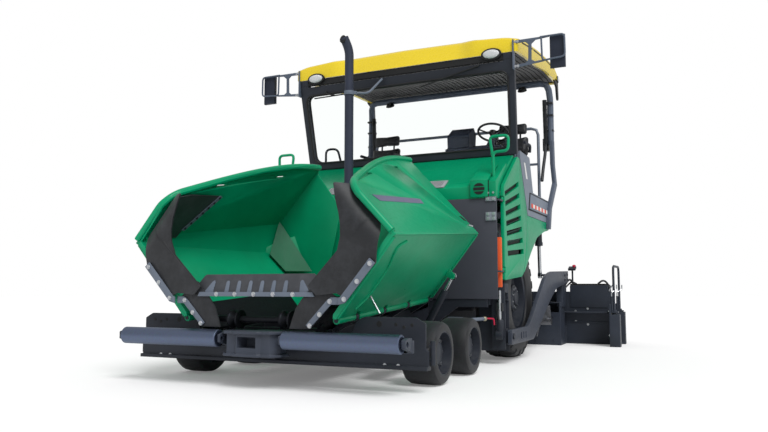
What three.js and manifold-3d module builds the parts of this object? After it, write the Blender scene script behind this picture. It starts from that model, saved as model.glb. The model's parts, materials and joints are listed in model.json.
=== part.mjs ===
// A wheeled asphalt paver with its screed, in millimetres.
// +Z is up, -Y is the travel direction (the hopper end), +X is the machine's left-hand side.
// The origin is on the ground under the middle of the rear axle.
import * as THREE from "three";
import { mergeVertices } from "three/addons/utils/BufferGeometryUtils.js";
import { ConvexGeometry } from "three/addons/geometries/ConvexGeometry.js";
import Module from "manifold-3d";

// ---- driving dimensions ----
const touch = 0.3; // gap between two pieces that are bolted face to face
const turning = 0.9; // radial gap of a pin in its bore
const clear = 8; // gap beside a piece that moves

const rearTyreRadius = 640;
const rearTyreWidth = 340;
const rearWheelX = 1060; // middle of a drive wheel
const rimRadius = 330;
const frontTyreRadius = 245;
const frontTyreWidth = 280;
const frontWheelX = 1097; // middle of a steered wheel
const frontWheelY = [-2410, -1658]; // the leading and the trailing wheel of each bogie
const kingpinX = 900;

const panelX = 1245; // inner face of the side panels
const panelThickness = 35;
const bodyX = 830; // outer face of the body between the drive wheels
const sheet = 12; // body plate thickness

const railX = 470; // inner face of the two long frame plates
const railThickness = 40;
const railBottom = 300;
const tractorFront = -2930; // front face of the lower crossbeam
const tractorRear = 1230;
const bulkheadY = -912; // front face of the engine bay's front wall
const bayFloor = 900; // top of the floor that carries the engine
const deckBottom = 1560;
const deckTop = 1800;
const deckRear = 1420;
const hoodFrontHeight = 1750;
const hoodRear = -200;
const sillHeight = 2165; // top of the hood at the windscreen

const hopperSlope = THREE.MathUtils.degToRad(4.1); // the hopper and the conveyor climb towards the rear
const wingHinge = new THREE.Vector3(676, -3150, 508); // front end of a wing's hinge line
const wingLength = 1900;
const wingFloorLength = 789;
const wingFloorAngle = THREE.MathUtils.degToRad(51.2); // of the partly folded wing
const wingSideAngle = THREE.MathUtils.degToRad(132.4);
const wingSideFront = 540; // height of the wing's side panel at its front edge
const wingSideRear = 985;
const wingFloorThickness = 40;
const wingSideThickness = 18;
const hingePinRadius = 16;

const rollerY = -3210;
const rollerZ = 366;
const rollerRadius = 67;
const rollerInner = 290;
const rollerOuter = 1228;

const roofHalfWidth = 1360;
const windscreenLean = THREE.MathUtils.degToRad(11.5);
const windscreenHeight = 1010;
const postX = 1290;
const exhaust = new THREE.Vector2(-460, -790);
const exhaustRadius = 50;

const towPoint = new THREE.Vector2(-722, 275); // y and z of the pin that the screed arms swing on
const armX = 1293; // inner face of a screed arm
const armThickness = 42;
const liftTop = new THREE.Vector2(1080, 1700);
const liftFoot = new THREE.Vector2(1130, 905);
const liftX = 1190;

const screedHalf = 1275; // half the basic screed width
const screedFront = 1900;
const screedDepth = 400;
const screedHeight = 560;
const extensionLength = 1250;
const extensionReach = 1890; // outer end of an extension, pulled out half-way
const extensionDepth = 360;

const augerY = 1560;
const augerZ = 330;
const augerRadius = 200;

// ---- solids ----
const wasm = await Module();
wasm.setup();

function toSolid(geometry) {
  const bare = geometry.index ? geometry.toNonIndexed() : geometry.clone();
  const points = new THREE.BufferGeometry().setAttribute("position", bare.getAttribute("position"));
  const merged = mergeVertices(points, 1e-3);
  return new wasm.Manifold(new wasm.Mesh({
    numProp: 3,
    vertProperties: new Float32Array(merged.attributes.position.array),
    triVerts: new Uint32Array(merged.index.array),
  }));
}

function fromSolid(solid) {
  const mesh = solid.getMesh();
  return new THREE.BufferGeometry()
    .setAttribute("position", new THREE.BufferAttribute(mesh.vertProperties, 3))
    .setIndex(new THREE.BufferAttribute(mesh.triVerts, 1));
}

function join(...geometries) {
  return fromSolid(geometries.map(toSolid).reduce((whole, piece) => whole.add(piece)));
}

function cut(geometry, ...tools) {
  return fromSolid(tools.map(toSolid).reduce((whole, tool) => whole.subtract(tool), toSolid(geometry)));
}

function mirrored(geometry) {
  const copy = fromSolid(toSolid(geometry));
  copy.scale(-1, 1, 1);
  const index = copy.index.array;
  for (let i = 0; i < index.length; i += 3) {
    [index[i + 1], index[i + 2]] = [index[i + 2], index[i + 1]];
  }
  return copy;
}

function bothSides(geometry) {
  return [geometry, mirrored(geometry)];
}

function block(x0, x1, y0, y1, z0, z1) {
  return new THREE.BoxGeometry(x1 - x0, y1 - y0, z1 - z0)
    .translate((x0 + x1) / 2, (y0 + y1) / 2, (z0 + z1) / 2);
}

// A shape whose corners are rounded: a point is [u, v] or [u, v, radius].
function outline(points) {
  const shape = new THREE.Shape();
  const count = points.length;
  points.forEach(([u, v, radius = 0], i) => {
    const corner = new THREE.Vector2(u, v);
    const before = new THREE.Vector2(...points[(i + count - 1) % count].slice(0, 2)).sub(corner);
    const after = new THREE.Vector2(...points[(i + 1) % count].slice(0, 2)).sub(corner);
    const start = corner.clone().add(before.setLength(radius));
    const end = corner.clone().add(after.setLength(radius));
    if (i === 0) shape.moveTo(start.x, start.y);
    else shape.lineTo(start.x, start.y);
    if (radius > 0) shape.quadraticCurveTo(corner.x, corner.y, end.x, end.y);
  });
  shape.closePath();
  return shape;
}

function extruded(shape, depth, curveSegments = 3) {
  return new THREE.ExtrudeGeometry(shape, { depth, bevelEnabled: false, curveSegments });
}

// Plates: an outline in two axes, drawn out along the third.
function plateX(points, x0, x1) {
  const turn = new THREE.Matrix4().makeBasis(
    new THREE.Vector3(0, 1, 0), new THREE.Vector3(0, 0, 1), new THREE.Vector3(1, 0, 0));
  return extruded(outline(points), x1 - x0).applyMatrix4(turn).translate(x0, 0, 0);
}

function plateY(points, y0, y1) {
  const turn = new THREE.Matrix4().makeBasis(
    new THREE.Vector3(1, 0, 0), new THREE.Vector3(0, 0, 1), new THREE.Vector3(0, -1, 0));
  return extruded(outline(points), y1 - y0).applyMatrix4(turn).translate(0, y1, 0);
}

function plateZ(points, z0, z1) {
  return extruded(outline(points), z1 - z0).translate(0, 0, z0);
}

function rod(from, to, radius, sides = 16, endRadius = radius) {
  const start = new THREE.Vector3(...from);
  const along = new THREE.Vector3(...to).sub(start);
  const geometry = new THREE.CylinderGeometry(endRadius, radius, along.length(), sides);
  geometry.translate(0, along.length() / 2, 0);
  geometry.applyQuaternion(
    new THREE.Quaternion().setFromUnitVectors(new THREE.Vector3(0, 1, 0), along.clone().normalize()));
  return geometry.translate(...from);
}

// A curve through given points, whose swept section stands square at every one of them.
class BentLine extends THREE.Curve {
  constructor(points) {
    super();
    this.points = points;
  }
  getPointAt(u) {
    const place = u * (this.points.length - 1);
    const i = Math.min(Math.floor(place), this.points.length - 2);
    return this.points[i].clone().lerp(this.points[i + 1], place - i);
  }
  getTangentAt(u) {
    const i = Math.round(u * (this.points.length - 1));
    const before = this.points[Math.max(i - 1, 0)];
    const after = this.points[Math.min(i + 1, this.points.length - 1)];
    return after.clone().sub(before).normalize();
  }
  getSpacedPoints() {
    return this.points;
  }
}

// A round tube along straight runs joined by bends of one radius.
function pipe(corners, radius, bend, sides = 6, bendSteps = 2) {
  const places = corners.map((corner) => new THREE.Vector3(...corner));
  const points = [places[0]];
  for (let i = 1; i < places.length - 1; i++) {
    const back = places[i - 1].clone().sub(places[i]).setLength(bend).add(places[i]);
    const on = places[i + 1].clone().sub(places[i]).setLength(bend).add(places[i]);
    const curve = new THREE.QuadraticBezierCurve3(back, places[i], on);
    points.push(...curve.getPoints(bendSteps));
  }
  points.push(places[places.length - 1]);
  const section = new THREE.Shape();
  for (let i = 0; i < sides; i++) {
    const angle = (i / sides) * 2 * Math.PI;
    const x = radius * Math.cos(angle);
    const y = radius * Math.sin(angle);
    if (i === 0) section.moveTo(x, y);
    else section.lineTo(x, y);
  }
  section.closePath();
  return new THREE.ExtrudeGeometry(section, {
    steps: points.length - 1,
    extrudePath: new BentLine(points),
    bevelEnabled: false,
  });
}

// A body of revolution about X from [x, radius] points.
function turnedX(profile, segments = 32) {
  const points = profile.map(([x, radius]) => new THREE.Vector2(radius, x));
  if (!THREE.ShapeUtils.isClockWise(points)) return new THREE.LatheGeometry(points, segments).rotateZ(-Math.PI / 2);
  return new THREE.LatheGeometry(points.reverse(), segments).rotateZ(-Math.PI / 2);
}

function hull(points) {
  return new ConvexGeometry(points.map((point) => new THREE.Vector3(...point)));
}

// A solid through rings of points, front to rear, each ring as long as the first.
function loft(sections) {
  const flat = (ring) => ring.map(([x, , z]) => new THREE.Vector2(x, z));
  const rings = THREE.ShapeUtils.isClockWise(flat(sections[0]))
    ? sections.map((ring) => ring.slice().reverse())
    : sections;
  const around = rings[0].length;
  const positions = [];
  const triangle = (a, b, c) => positions.push(...a, ...b, ...c);
  for (let i = 0; i < rings.length - 1; i++) {
    for (let j = 0; j < around; j++) {
      const next = (j + 1) % around;
      triangle(rings[i][j], rings[i + 1][j], rings[i + 1][next]);
      triangle(rings[i][j], rings[i + 1][next], rings[i][next]);
    }
  }
  const first = rings[0];
  const last = rings[rings.length - 1];
  const faces = (ring) => THREE.ShapeUtils.triangulateShape(flat(ring), []);
  faces(first).forEach(([a, b, c]) => triangle(first[a], first[b], first[c]));
  faces(last).forEach(([a, b, c]) => triangle(last[c], last[b], last[a]));
  return new THREE.BufferGeometry()
    .setAttribute("position", new THREE.Float32BufferAttribute(positions, 3));
}

// ---- finishes ----
const finishes = {
  green: { color: 0x00a065, roughness: 0.35, metalness: 0.1 },
  darkGrey: { color: 0x40444e, roughness: 0.5, metalness: 0.3 },
  lightGrey: { color: 0x848c99, roughness: 0.45, metalness: 0.3 },
  yellow: { color: 0xe3c62f, roughness: 0.35, metalness: 0 },
  black: { color: 0x1e2024, roughness: 0.6, metalness: 0 },
  rubber: { color: 0x2c2f33, roughness: 0.85, metalness: 0 },
  steel: { color: 0xb9bec6, roughness: 0.25, metalness: 1 },
  glass: { color: 0xc8d8dc, roughness: 0.05, metalness: 0, transparent: true, opacity: 0.3 },
};

const paver = new THREE.Group();
paver.name = "asphalt_paver";

function add(name, geometry, finish, parent = paver) {
  const mesh = new THREE.Mesh(geometry, new THREE.MeshStandardMaterial(finishes[finish]));
  mesh.name = name;
  parent.add(mesh);
  return mesh;
}

// Adds a left-hand piece and its mirror image.
function addPair(name, geometry, finish, parent = paver) {
  add(name + "_left", geometry, finish, parent);
  add(name + "_right", geometry, finish, parent).scale.x = -1;
}

// ---- hopper geometry shared by the frame, the floor, the wings and the flaps ----
// The wings' own frame: its origin at the front of the hinge line, Y along the line.
const hopperFrame = new THREE.Matrix4().makeRotationX(hopperSlope).setPosition(0, wingHinge.y, wingHinge.z);

function inHopper(geometry) {
  return geometry.applyMatrix4(hopperFrame);
}

const floorOut = [Math.cos(wingFloorAngle), Math.sin(wingFloorAngle)];
const floorIn = [-floorOut[1], floorOut[0]]; // square to the wing floor, into the hopper
const sideUp = [Math.cos(wingSideAngle), Math.sin(wingSideAngle)];
const sideIn = [-sideUp[1], sideUp[0]];
const wingX = wingHinge.x;
const wingCorner = [wingX + wingFloorLength * floorOut[0], wingFloorLength * floorOut[1]];

function wingSidePoint(height, depth = 0) {
  return [wingCorner[0] + height * sideUp[0] + depth * sideIn[0], height * sideUp[1] + wingCorner[1] + depth * sideIn[1]];
}

const wingEye = [wingX + 330 * floorOut[0] - 60 * floorIn[0], 1840, 330 * floorOut[1] - 60 * floorIn[1]];
const barrelEye = [wingX - 50, wingEye[1], -290];
const hingeLugs = [0.17, 0.43, 0.69, 0.95].map((share) => share * wingLength); // lug places along the hinge
const lugHalf = 22;
const slopeTop = [wingX - 52, 108]; // upper edge of the fixed floor beside the hinge
const slopeFoot = [railX - 14, -84];
const slopeThickness = 14;

function slopeHeight(x) {
  return slopeFoot[1] + ((x - slopeFoot[0]) * (slopeTop[1] - slopeFoot[1])) / (slopeTop[0] - slopeFoot[0]);
}

// ---- chassis ----
const railTopFront = wingHinge.z + (slopeHeight(railX) - slopeThickness * 1.6 - touch) / Math.cos(hopperSlope);

function railTop(y) {
  return railTopFront + (y - wingHinge.y) * Math.tan(hopperSlope);
}

function longRail() {
  const front = tractorFront + 50 + touch;
  return plateX([
    [front, railBottom], [tractorRear, railBottom], [tractorRear, bayFloor], [bulkheadY + sheet, bayFloor],
    [bulkheadY + sheet, railTop(-1180)], [-1180, railTop(-1180)], [front, railTop(front)],
  ], railX, railX + railThickness);
}

function hingeSupports() {
  const pieces = [];
  for (const place of hingeLugs) {
    pieces.push(inHopper(plateY([
      [railX + 5, -150], [wingX - 10, -40], [wingX + 22, -22], [wingX + 26, 8], [wingX + 10, 24],
      [wingX - 16, 20], [railX + 5, -100],
    ], place - lugHalf, place + lugHalf)));
  }
  pieces.push(inHopper(rod([wingX, 20, 0], [wingX, wingLength - 20, 0], hingePinRadius - turning, 12)));
  return pieces;
}

const bogieY = (frontWheelY[0] + frontWheelY[1]) / 2;
const bogieZ = 330;
const bogiePinRadius = 45;
const spindleRadius = 60;

function driveHub() {
  return turnedX([
    [railX + 10, 0], [railX + 10, 150], [700, 150], [720, 120], [rearWheelX - rearTyreWidth / 2 - clear, 120],
    [rearWheelX - 30, 105], [rearWheelX - 30, spindleRadius - turning],
    [rearWheelX + 90, spindleRadius - turning], [rearWheelX + 90, 0],
  ], 24).translate(0, 0, rearTyreRadius);
}

function towGuide() {
  const width = [1140, 1275];
  const channel = cut(
    block(width[0], width[1], towPoint.x - 75, towPoint.x + 68, 150, 790),
    block(width[0] + 35, width[1] + 5, towPoint.x - 60, towPoint.x + 45, 130, 700));
  const carrier = block(1100, width[0] + 5, bulkheadY + 30, towPoint.x + 20, 580, 790);
  const slider = block(width[0] + 30, width[1] + 4, towPoint.x - 60 - touch, towPoint.x + 45 + touch, 200, 350);
  const pin = rod([1200, ...towPoint], [armX + armThickness + 14, ...towPoint], 30 - turning, 16);
  const ram = rod([1222, towPoint.x, 345], [1222, towPoint.x, 705], 22);
  return [channel, carrier, slider, pin, ram];
}

function augerCarrier() {
  return [
    block(-60, 60, tractorRear - 20, augerY + 60, augerZ + 215, augerZ + 300),
    block(-60, 60, augerY - 60, augerY + 60, augerZ - 90, augerZ + 230),
    rod([-124, augerY, augerZ], [124, augerY, augerZ], 40 - turning, 16),
    block(-railX - 10, railX + 10, tractorRear - 40, tractorRear, augerZ + 215, augerZ + 300),
  ];
}

function wingCylinderBracket() {
  const [x, y, z] = barrelEye;
  return [
    plateY([
      [railX + 5, z + 30], [x, z + 28], [x + 26, z + 10], [x + 26, z - 14], [x, z - 28], [railX + 5, z - 30],
    ], y - 52, y - 38),
    rod([x, y - 45, z], [x, y + 18, z], 13 - turning, 16),
  ].map(inHopper);
}

function liftBracket() {
  const [y, z] = liftTop;
  return [
    block(bodyX - 10, liftX - 54, y - 30, y + 30, deckBottom - 70, deckBottom - 20),
    block(liftX - 70, liftX - 54, y - 30, y + 30, deckBottom - 70, z + 34),
    rod([liftX - 60, y, z], [liftX + 24, y, z], 18 - turning, 16),
  ];
}

const chassis = join(
  ...bothSides(longRail()),
  ...bothSides(plateX([
    [bulkheadY + sheet + touch, bayFloor - sheet], [tractorRear, bayFloor - sheet],
    [tractorRear, deckBottom - touch], [bulkheadY + sheet + touch, deckBottom - touch],
  ], bodyX - sheet, bodyX)),
  block(-bodyX, bodyX, bulkheadY + sheet + touch, tractorRear, bayFloor - sheet, bayFloor),
  block(-bodyX, bodyX, tractorRear - sheet, tractorRear, bayFloor - sheet, deckBottom - touch),
  block(-railX - 5, railX + 5, -2800, -2740, railBottom, railBottom + 25),
  block(-railX - 5, railX + 5, bogieY - 70, bogieY + 70, railBottom, railBottom + 60),
  block(-railX - 5, railX + 5, -120, 120, railBottom, railBottom + 90),
  block(-railX - 5, railX + 5, 700, 800, railBottom, railBottom + 90),
  ...hingeSupports().flatMap(bothSides),
  ...bothSides(driveHub()),
  ...bothSides(rod([railX + 10, bogieY, bogieZ], [760, bogieY, bogieZ], bogiePinRadius - turning, 16)),
  ...bothSides(plateY([
    [railX + 20, railBottom + 20], [bodyX - 5, 560], [1130, 560], [1130, 815], [bodyX - 5, bayFloor],
    [railX + 20, bayFloor],
  ], bulkheadY + sheet + touch, bulkheadY + 40)),
  ...towGuide().flatMap(bothSides),
  ...wingCylinderBracket().flatMap(bothSides),
  ...liftBracket().flatMap(bothSides),
  ...augerCarrier(),
);
add("chassis_frame", chassis, "darkGrey");

// ---- front crossbeam ----
const beamOuter = 1308;
const beamBottom = 167;
const pivotY = -3000;
const frontPlate = plateY([
  [-beamOuter, beamBottom], [beamOuter, beamBottom], [beamOuter, 300], [1286, 320], [1286, 496, 10], [1212, 536, 10],
  [800, 536, 20], [735, 500], [700, 420], [470, 330], [-470, 330], [-700, 420], [-735, 500],
  [-800, 536, 20], [-1212, 536, 10], [-1286, 496, 10], [-1286, 320], [-beamOuter, 300],
], tractorFront, tractorFront + 22);
const crossbeam = join(
  frontPlate,
  block(-beamOuter, beamOuter, tractorFront - 30, tractorFront + 50, beamBottom, beamBottom + 28),
  block(-1290, 1290, tractorFront + 10, tractorFront + 50, 300, 322),
  ...bothSides(block(1080, 1100, tractorFront + 10, tractorFront + 50, beamBottom, 520)),
  ...bothSides(block(railX, railX + 40, tractorFront + 10, tractorFront + 50, beamBottom, 400)),
  block(-110, 110, pivotY - 45, tractorFront + 5, 208, 226),
  block(-110, 110, pivotY - 45, tractorFront + 5, 402, 420),
  block(-110, 110, tractorFront, tractorFront + 22, 320, 420),
  rod([0, pivotY, 210], [0, pivotY, 418], 26 - turning, 16),
);
add("front_crossbeam", crossbeam, "darkGrey");

// ---- push rollers on their swinging bar ----
const barY = [rollerY + rollerRadius + 10, rollerY + rollerRadius + 48];
const stubRadius = 20;

function rollerBracket(x0, x1) {
  return cut(
    plateX([
      [rollerY - 34, rollerZ - 28, 10], [rollerY + 30, rollerZ - 45], [barY[0] + 5, rollerZ - 60],
      [barY[0] + 5, rollerZ + 40], [rollerY + 20, rollerZ + 42, 10], [rollerY - 34, rollerZ + 30, 10],
    ], x0, x1),
    rod([x0 - 5, rollerY, rollerZ], [x1 + 5, rollerY, rollerZ], stubRadius, 16));
}

const coupling = cut(
  join(
    plateZ([
      [-262, barY[1]], [-262, rollerY + 10], [-205, rollerY - 60], [-130, rollerY - 60], [-105, rollerY - 82],
      [105, rollerY - 82], [130, rollerY - 60], [205, rollerY - 60], [262, rollerY + 10], [262, barY[1]],
    ], rollerZ - 125, rollerZ - 105),
    plateZ([
      [-262, barY[1]], [-262, rollerY + 10], [-205, rollerY - 60], [-130, rollerY - 60], [-105, rollerY - 82],
      [105, rollerY - 82], [130, rollerY - 60], [205, rollerY - 60], [262, rollerY + 10], [262, barY[1]],
    ], rollerZ + 40, rollerZ + 60),
    plateZ([
      [-240, barY[1]], [-240, rollerY + 30], [-190, rollerY - 40], [-115, rollerY - 40], [-90, rollerY - 62],
      [90, rollerY - 62], [115, rollerY - 40], [190, rollerY - 40], [240, rollerY + 30], [240, barY[1]],
    ], rollerZ - 110, rollerZ + 45),
  ),
  block(-82, 82, rollerY - 90, rollerY + 70, rollerZ - 62, rollerZ + 18),
);
const pivotBoss = cut(
  block(-55, 55, barY[1] - 5, pivotY + 45, 226 + clear, 402 - clear),
  rod([0, pivotY, 200], [0, pivotY, 430], 26, 16));
const rollerBar = join(
  block(-1270, 1270, barY[0], barY[1], 300, 388),
  coupling,
  pivotBoss,
  ...bothSides(rollerBracket(rollerInner - 28, rollerInner - clear)),
  ...bothSides(rollerBracket(rollerOuter + clear, rollerOuter + 40)),
);
add("push_roller_bar", rollerBar, "darkGrey");
addPair("push_roller", turnedX([
  [rollerInner - 24, 0], [rollerInner - 24, stubRadius - turning], [rollerInner, stubRadius - turning],
  [rollerInner, rollerRadius - 8], [rollerInner + 8, rollerRadius], [rollerOuter - 8, rollerRadius],
  [rollerOuter, rollerRadius - 8], [rollerOuter, stubRadius - turning], [rollerOuter + 36, stubRadius - turning],
  [rollerOuter + 36, 0],
], 24).translate(0, rollerY, rollerZ), "lightGrey");

// ---- conveyor: a floor with drag bars between two chain covers ----
const conveyorFront = 300;
const conveyorLength = 4330;
const conveyorZ = -150;
const conveyorBars = [];
for (let y = conveyorFront + 120; y < conveyorLength; y += 290) {
  conveyorBars.push(block(-railX + 45, railX - 45, y, y + 35, conveyorZ, conveyorZ + 38));
}
const conveyor = join(
  block(-railX + touch, railX - touch, conveyorFront, conveyorLength, conveyorZ - 12, conveyorZ + 5),
  ...conveyorBars,
  ...bothSides(block(railX - 60, railX - touch, conveyorFront, 1900, conveyorZ, conveyorZ + 38)),
  rod([-railX + 60, conveyorFront, conveyorZ - 8], [railX - 60, conveyorFront, conveyorZ - 8], 46, 20),
);
add("conveyor", inHopper(conveyor), "black");

// ---- fixed hopper floor beside the conveyor, rear wall, and the apron with the lower flaps ----
function slopePlate(lowest, y0, y1) {
  const drop = slopeThickness * 1.6;
  return plateY([
    [lowest, slopeHeight(lowest)], [lowest, slopeHeight(lowest) - drop], [slopeTop[0], slopeTop[1] - drop], slopeTop,
  ], y0, y1);
}

const backWallY = -1190;
const hopperFloor = join(
  ...bothSides(inHopper(slopePlate(slopeFoot[0], 100, wingLength + 75))),
  ...bothSides(inHopper(slopePlate(528, -4, 110))),
  plateY([
    [-560, 640], [-slopeFoot[0] - 6, 575], [-slopeFoot[0] + 25, 660], [slopeFoot[0] - 25, 660],
    [slopeFoot[0] + 6, 575], [560, 640], [600, 760], [470, 1560], [-470, 1560], [-600, 760],
  ], backWallY, backWallY + sheet),
  ...bothSides(block(440, 470, backWallY + 5, bulkheadY - touch, 900, 1560)),
  block(-470, 470, backWallY + 5, bulkheadY - touch, 1548, 1560),
);
add("hopper_floor", hopperFloor, "green");

const apronY = -3161.8 - touch; // the tilted slopes reach this far forward at their upper edge
const lowerFlap = plateY([
  [312, 462], [478, 446], [660, 628], [610, 742], [540, 800], [498, 753], [375, 612],
], apronY - 13, apronY);
const apron = join(
  plateY([
    [-540, 690], [540, 690], [545, 790], [492, 853, 15], [-492, 853, 15], [-545, 790],
  ], apronY - 13, apronY),
  block(-500, 500, apronY - 26, apronY, 685, 712),
  ...bothSides(lowerFlap),
);
add("front_apron", apron, "rubber");

// ---- hopper wings, each with its rim, rear wall and hinge barrels ----
const wingFront = 0;
const rimRadius2 = 24;

function wingFloor() {
  const inner = (along, depth) => [
    wingX + along * floorOut[0] + depth * floorIn[0], along * floorOut[1] + depth * floorIn[1]];
  return plateY([
    inner(0, -4), inner(wingFloorLength, 0), inner(wingFloorLength + 4, wingFloorThickness),
    inner(30, wingFloorThickness), inner(6, wingFloorThickness - 14),
  ], wingFront, wingLength);
}

function wingSide() {
  const ring = (y, height) => [
    wingSidePoint(-8, 0), wingSidePoint(height, 0), wingSidePoint(height, wingSideThickness),
    wingSidePoint(-8, wingSideThickness),
  ].map(([x, z]) => [x, y, z]);
  const stations = [[wingFront, 410], [40, 480], [110, wingSideFront]];
  for (let step = 1; step <= 4; step++) {
    const share = step / 4;
    const rise = Math.sin((share * Math.PI) / 2);
    stations.push([110 + (wingLength - 110) * share, wingSideFront + (wingSideRear - wingSideFront) * rise]);
  }
  return [loft(stations.map(([y, height]) => ring(y, height))), stations];
}

function wingRim(stations) {
  const points = stations.map(([y, height]) => {
    const [x, z] = wingSidePoint(height, wingSideThickness / 2);
    return [x, y, z];
  });
  const [cornerX, cornerZ] = wingSidePoint(20, wingSideThickness / 2);
  return pipe([[cornerX, 14, cornerZ], ...points], rimRadius2, 12, 8, 1);
}

const rearWallInner = [[-155, 1277], [-418, 904], [-289, 408], [-166, 246]]; // from the hinge line

function wingRearWall() {
  const top = wingSidePoint(wingSideRear, 4);
  return plateY([
    [wingX + 12, 22], wingCorner, top, ...rearWallInner.map(([x, z]) => [wingX + x, z]), [wingX + 20, 130],
    [wingX + 18, 40],
  ], wingLength - 16, wingLength);
}

function cornerFacets() {
  const at = (along, depth, y) => {
    const [x, z] = [wingX + along * floorOut[0] + depth * floorIn[0], along * floorOut[1] + depth * floorIn[1]];
    return [x, y, z];
  };
  const side = (height, depth, y) => {
    const [x, z] = wingSidePoint(height, depth);
    return [x, y, z];
  };
  const rear = wingLength - 10;
  return [
    // a long wedge along the corner of floor and side, wider towards the rear
    hull([
      at(wingFloorLength - 90, 20, 60), side(90, 8, 60), side(4, 6, 60),
      at(wingFloorLength - 250, 20, rear), side(250, 8, rear), side(4, 6, rear),
    ]),
    // a slanted corner between floor and rear wall
    hull([
      at(120, 20, rear), at(wingFloorLength - 60, 20, rear), at(120, 20, rear - 60),
      at(wingFloorLength - 150, 20, rear - 300), at(260, 190, rear), at(wingFloorLength - 200, 300, rear),
    ]),
  ];
}

function hingeBarrels() {
  const barrels = [];
  const ends = [25 - lugHalf - clear, ...hingeLugs];
  for (let i = 0; i < ends.length - 1; i++) {
    const from = ends[i] + lugHalf + clear;
    const to = ends[i + 1] - lugHalf - clear;
    barrels.push(rod([wingX, from, 0], [wingX, to, 0], hingePinRadius + 11, 12));
  }
  return barrels;
}

const [wingSidePanel, rimStations] = wingSide();
const eyePlate = join(
  rod([wingEye[0], wingEye[1] - 34, wingEye[2]], [wingEye[0], wingEye[1] - 20, wingEye[2]], 28, 16),
  plateY([[-26, -4], [-44, 63], [44, 63], [26, -4]].map(([along, depth]) => [
    wingEye[0] + along * floorOut[0] + depth * floorIn[0], wingEye[2] + along * floorOut[1] + depth * floorIn[1],
  ]), wingEye[1] - 34, wingEye[1] - 20),
  rod([wingEye[0], wingEye[1] - 30, wingEye[2]], [wingEye[0], wingEye[1] + 18, wingEye[2]], 11, 12),
);
let wing = join(wingFloor(), wingSidePanel, wingRim(rimStations), wingRearWall(), ...cornerFacets(), ...hingeBarrels(), eyePlate);
wing = cut(
  wing,
  rod([wingX, -5, 0], [wingX, wingLength + 5, 0], hingePinRadius, 12),
  ...hingeLugs.map((place) => block(
    wingX - 70, wingX + 42, place - lugHalf - clear, place + lugHalf + clear, -70, 40)),
);
addPair("hopper_wing", inHopper(wing), "green");

// ---- upper flaps: rubber sheets over the open front corners, carried back along the wings' inner sides ----
const flapFront = [
  [800, 190], [1035, 432], [1056, 640], [1040, 722], [790, 985], [700, 990], [690, 850], [760, 690], [745, 540],
  [640, 415],
];
const flapTail = [[170, 36], [520, 36], [520, 48], [170, 48]].map(([height, depth]) => wingSidePoint(height, depth));
const flapStrip = [[150, 4], [570, 4], [570, 34], [150, 34]].map(([along, depth]) => [
  wingX + along * floorOut[0] + depth * floorIn[0], along * floorOut[1] + depth * floorIn[1],
]);
addPair("upper_flap", inHopper(join(
  plateY(flapFront, -34, -20), plateY(flapTail, -28, 330), plateY(flapStrip, -30, -touch),
)), "rubber");

// ---- engine bay ----
const bulkhead = cut(
  block(-1240, 1240, bulkheadY, bulkheadY + sheet, 640, 1630),
  block(-railX - railThickness - 5, railX + railThickness + 5, bulkheadY - 5, bulkheadY + sheet + 5, 600, 890),
);
const doorHinge = new THREE.Vector2(1262, -803);
const doorHingeZ = [900, 1600];

function doorHingeArm(z) {
  return [
    plateZ([[1228, bulkheadY + 7], [1274, bulkheadY + 7], [1274, -796], [1250, -796], [1250, bulkheadY + 19],
      [1228, bulkheadY + 19]], z, z + 16),
    rod([doorHinge.x, doorHinge.y, z + 8], [doorHinge.x, doorHinge.y, z + 46], 6 - turning, 10),
  ];
}
add("bulkhead", join(bulkhead, ...doorHingeZ.flatMap(doorHingeArm).flatMap(bothSides)), "darkGrey");

add("engine_block", block(-540, 540, -840, 320, bayFloor + touch, 1500), "darkGrey");

const hoodX = 1235;
const hoodProfile = (inset) => [
  [bulkheadY + inset, 1630 + touch - (inset ? 10 : 0)], [bulkheadY + inset, hoodFrontHeight - inset * 0.6],
  [hoodRear - 30 - inset * 0.4, sillHeight - inset], [hoodRear - inset, sillHeight - inset],
  [hoodRear - inset, 1630 + touch - (inset ? 10 : 0)],
];
const handLoop = pipe([
  [1190, -820, 1770], [1184, -820, 2100], [1340, -820, 2104], [1345, -820, 2260], [1151, -820, 2260],
  [1180, -812, 2050],
], 14, 40);
const exhaustHole = rod([exhaust.x, exhaust.y, 1600], [exhaust.x, exhaust.y, 2100], exhaustRadius + clear, 16);
const hood = cut(
  join(
    cut(plateX(hoodProfile(0), -hoodX, hoodX), plateX(hoodProfile(18), -hoodX + 18, hoodX - 18)),
    ...bothSides(handLoop),
  ),
  exhaustHole,
);
add("hood", hood, "green");

// ---- louvred side doors and the skirts above the drive wheels ----
const doorOutline = [
  [-795, 822, 12], [-120, 868, 20], [-40, 905, 20], [50, 1100], [186, 1545], [-120, 2140, 20],
  [-215, 2150, 20], [-770, 1770, 30], [-795, 1690, 20],
];
const louvreCount = 7;

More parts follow.
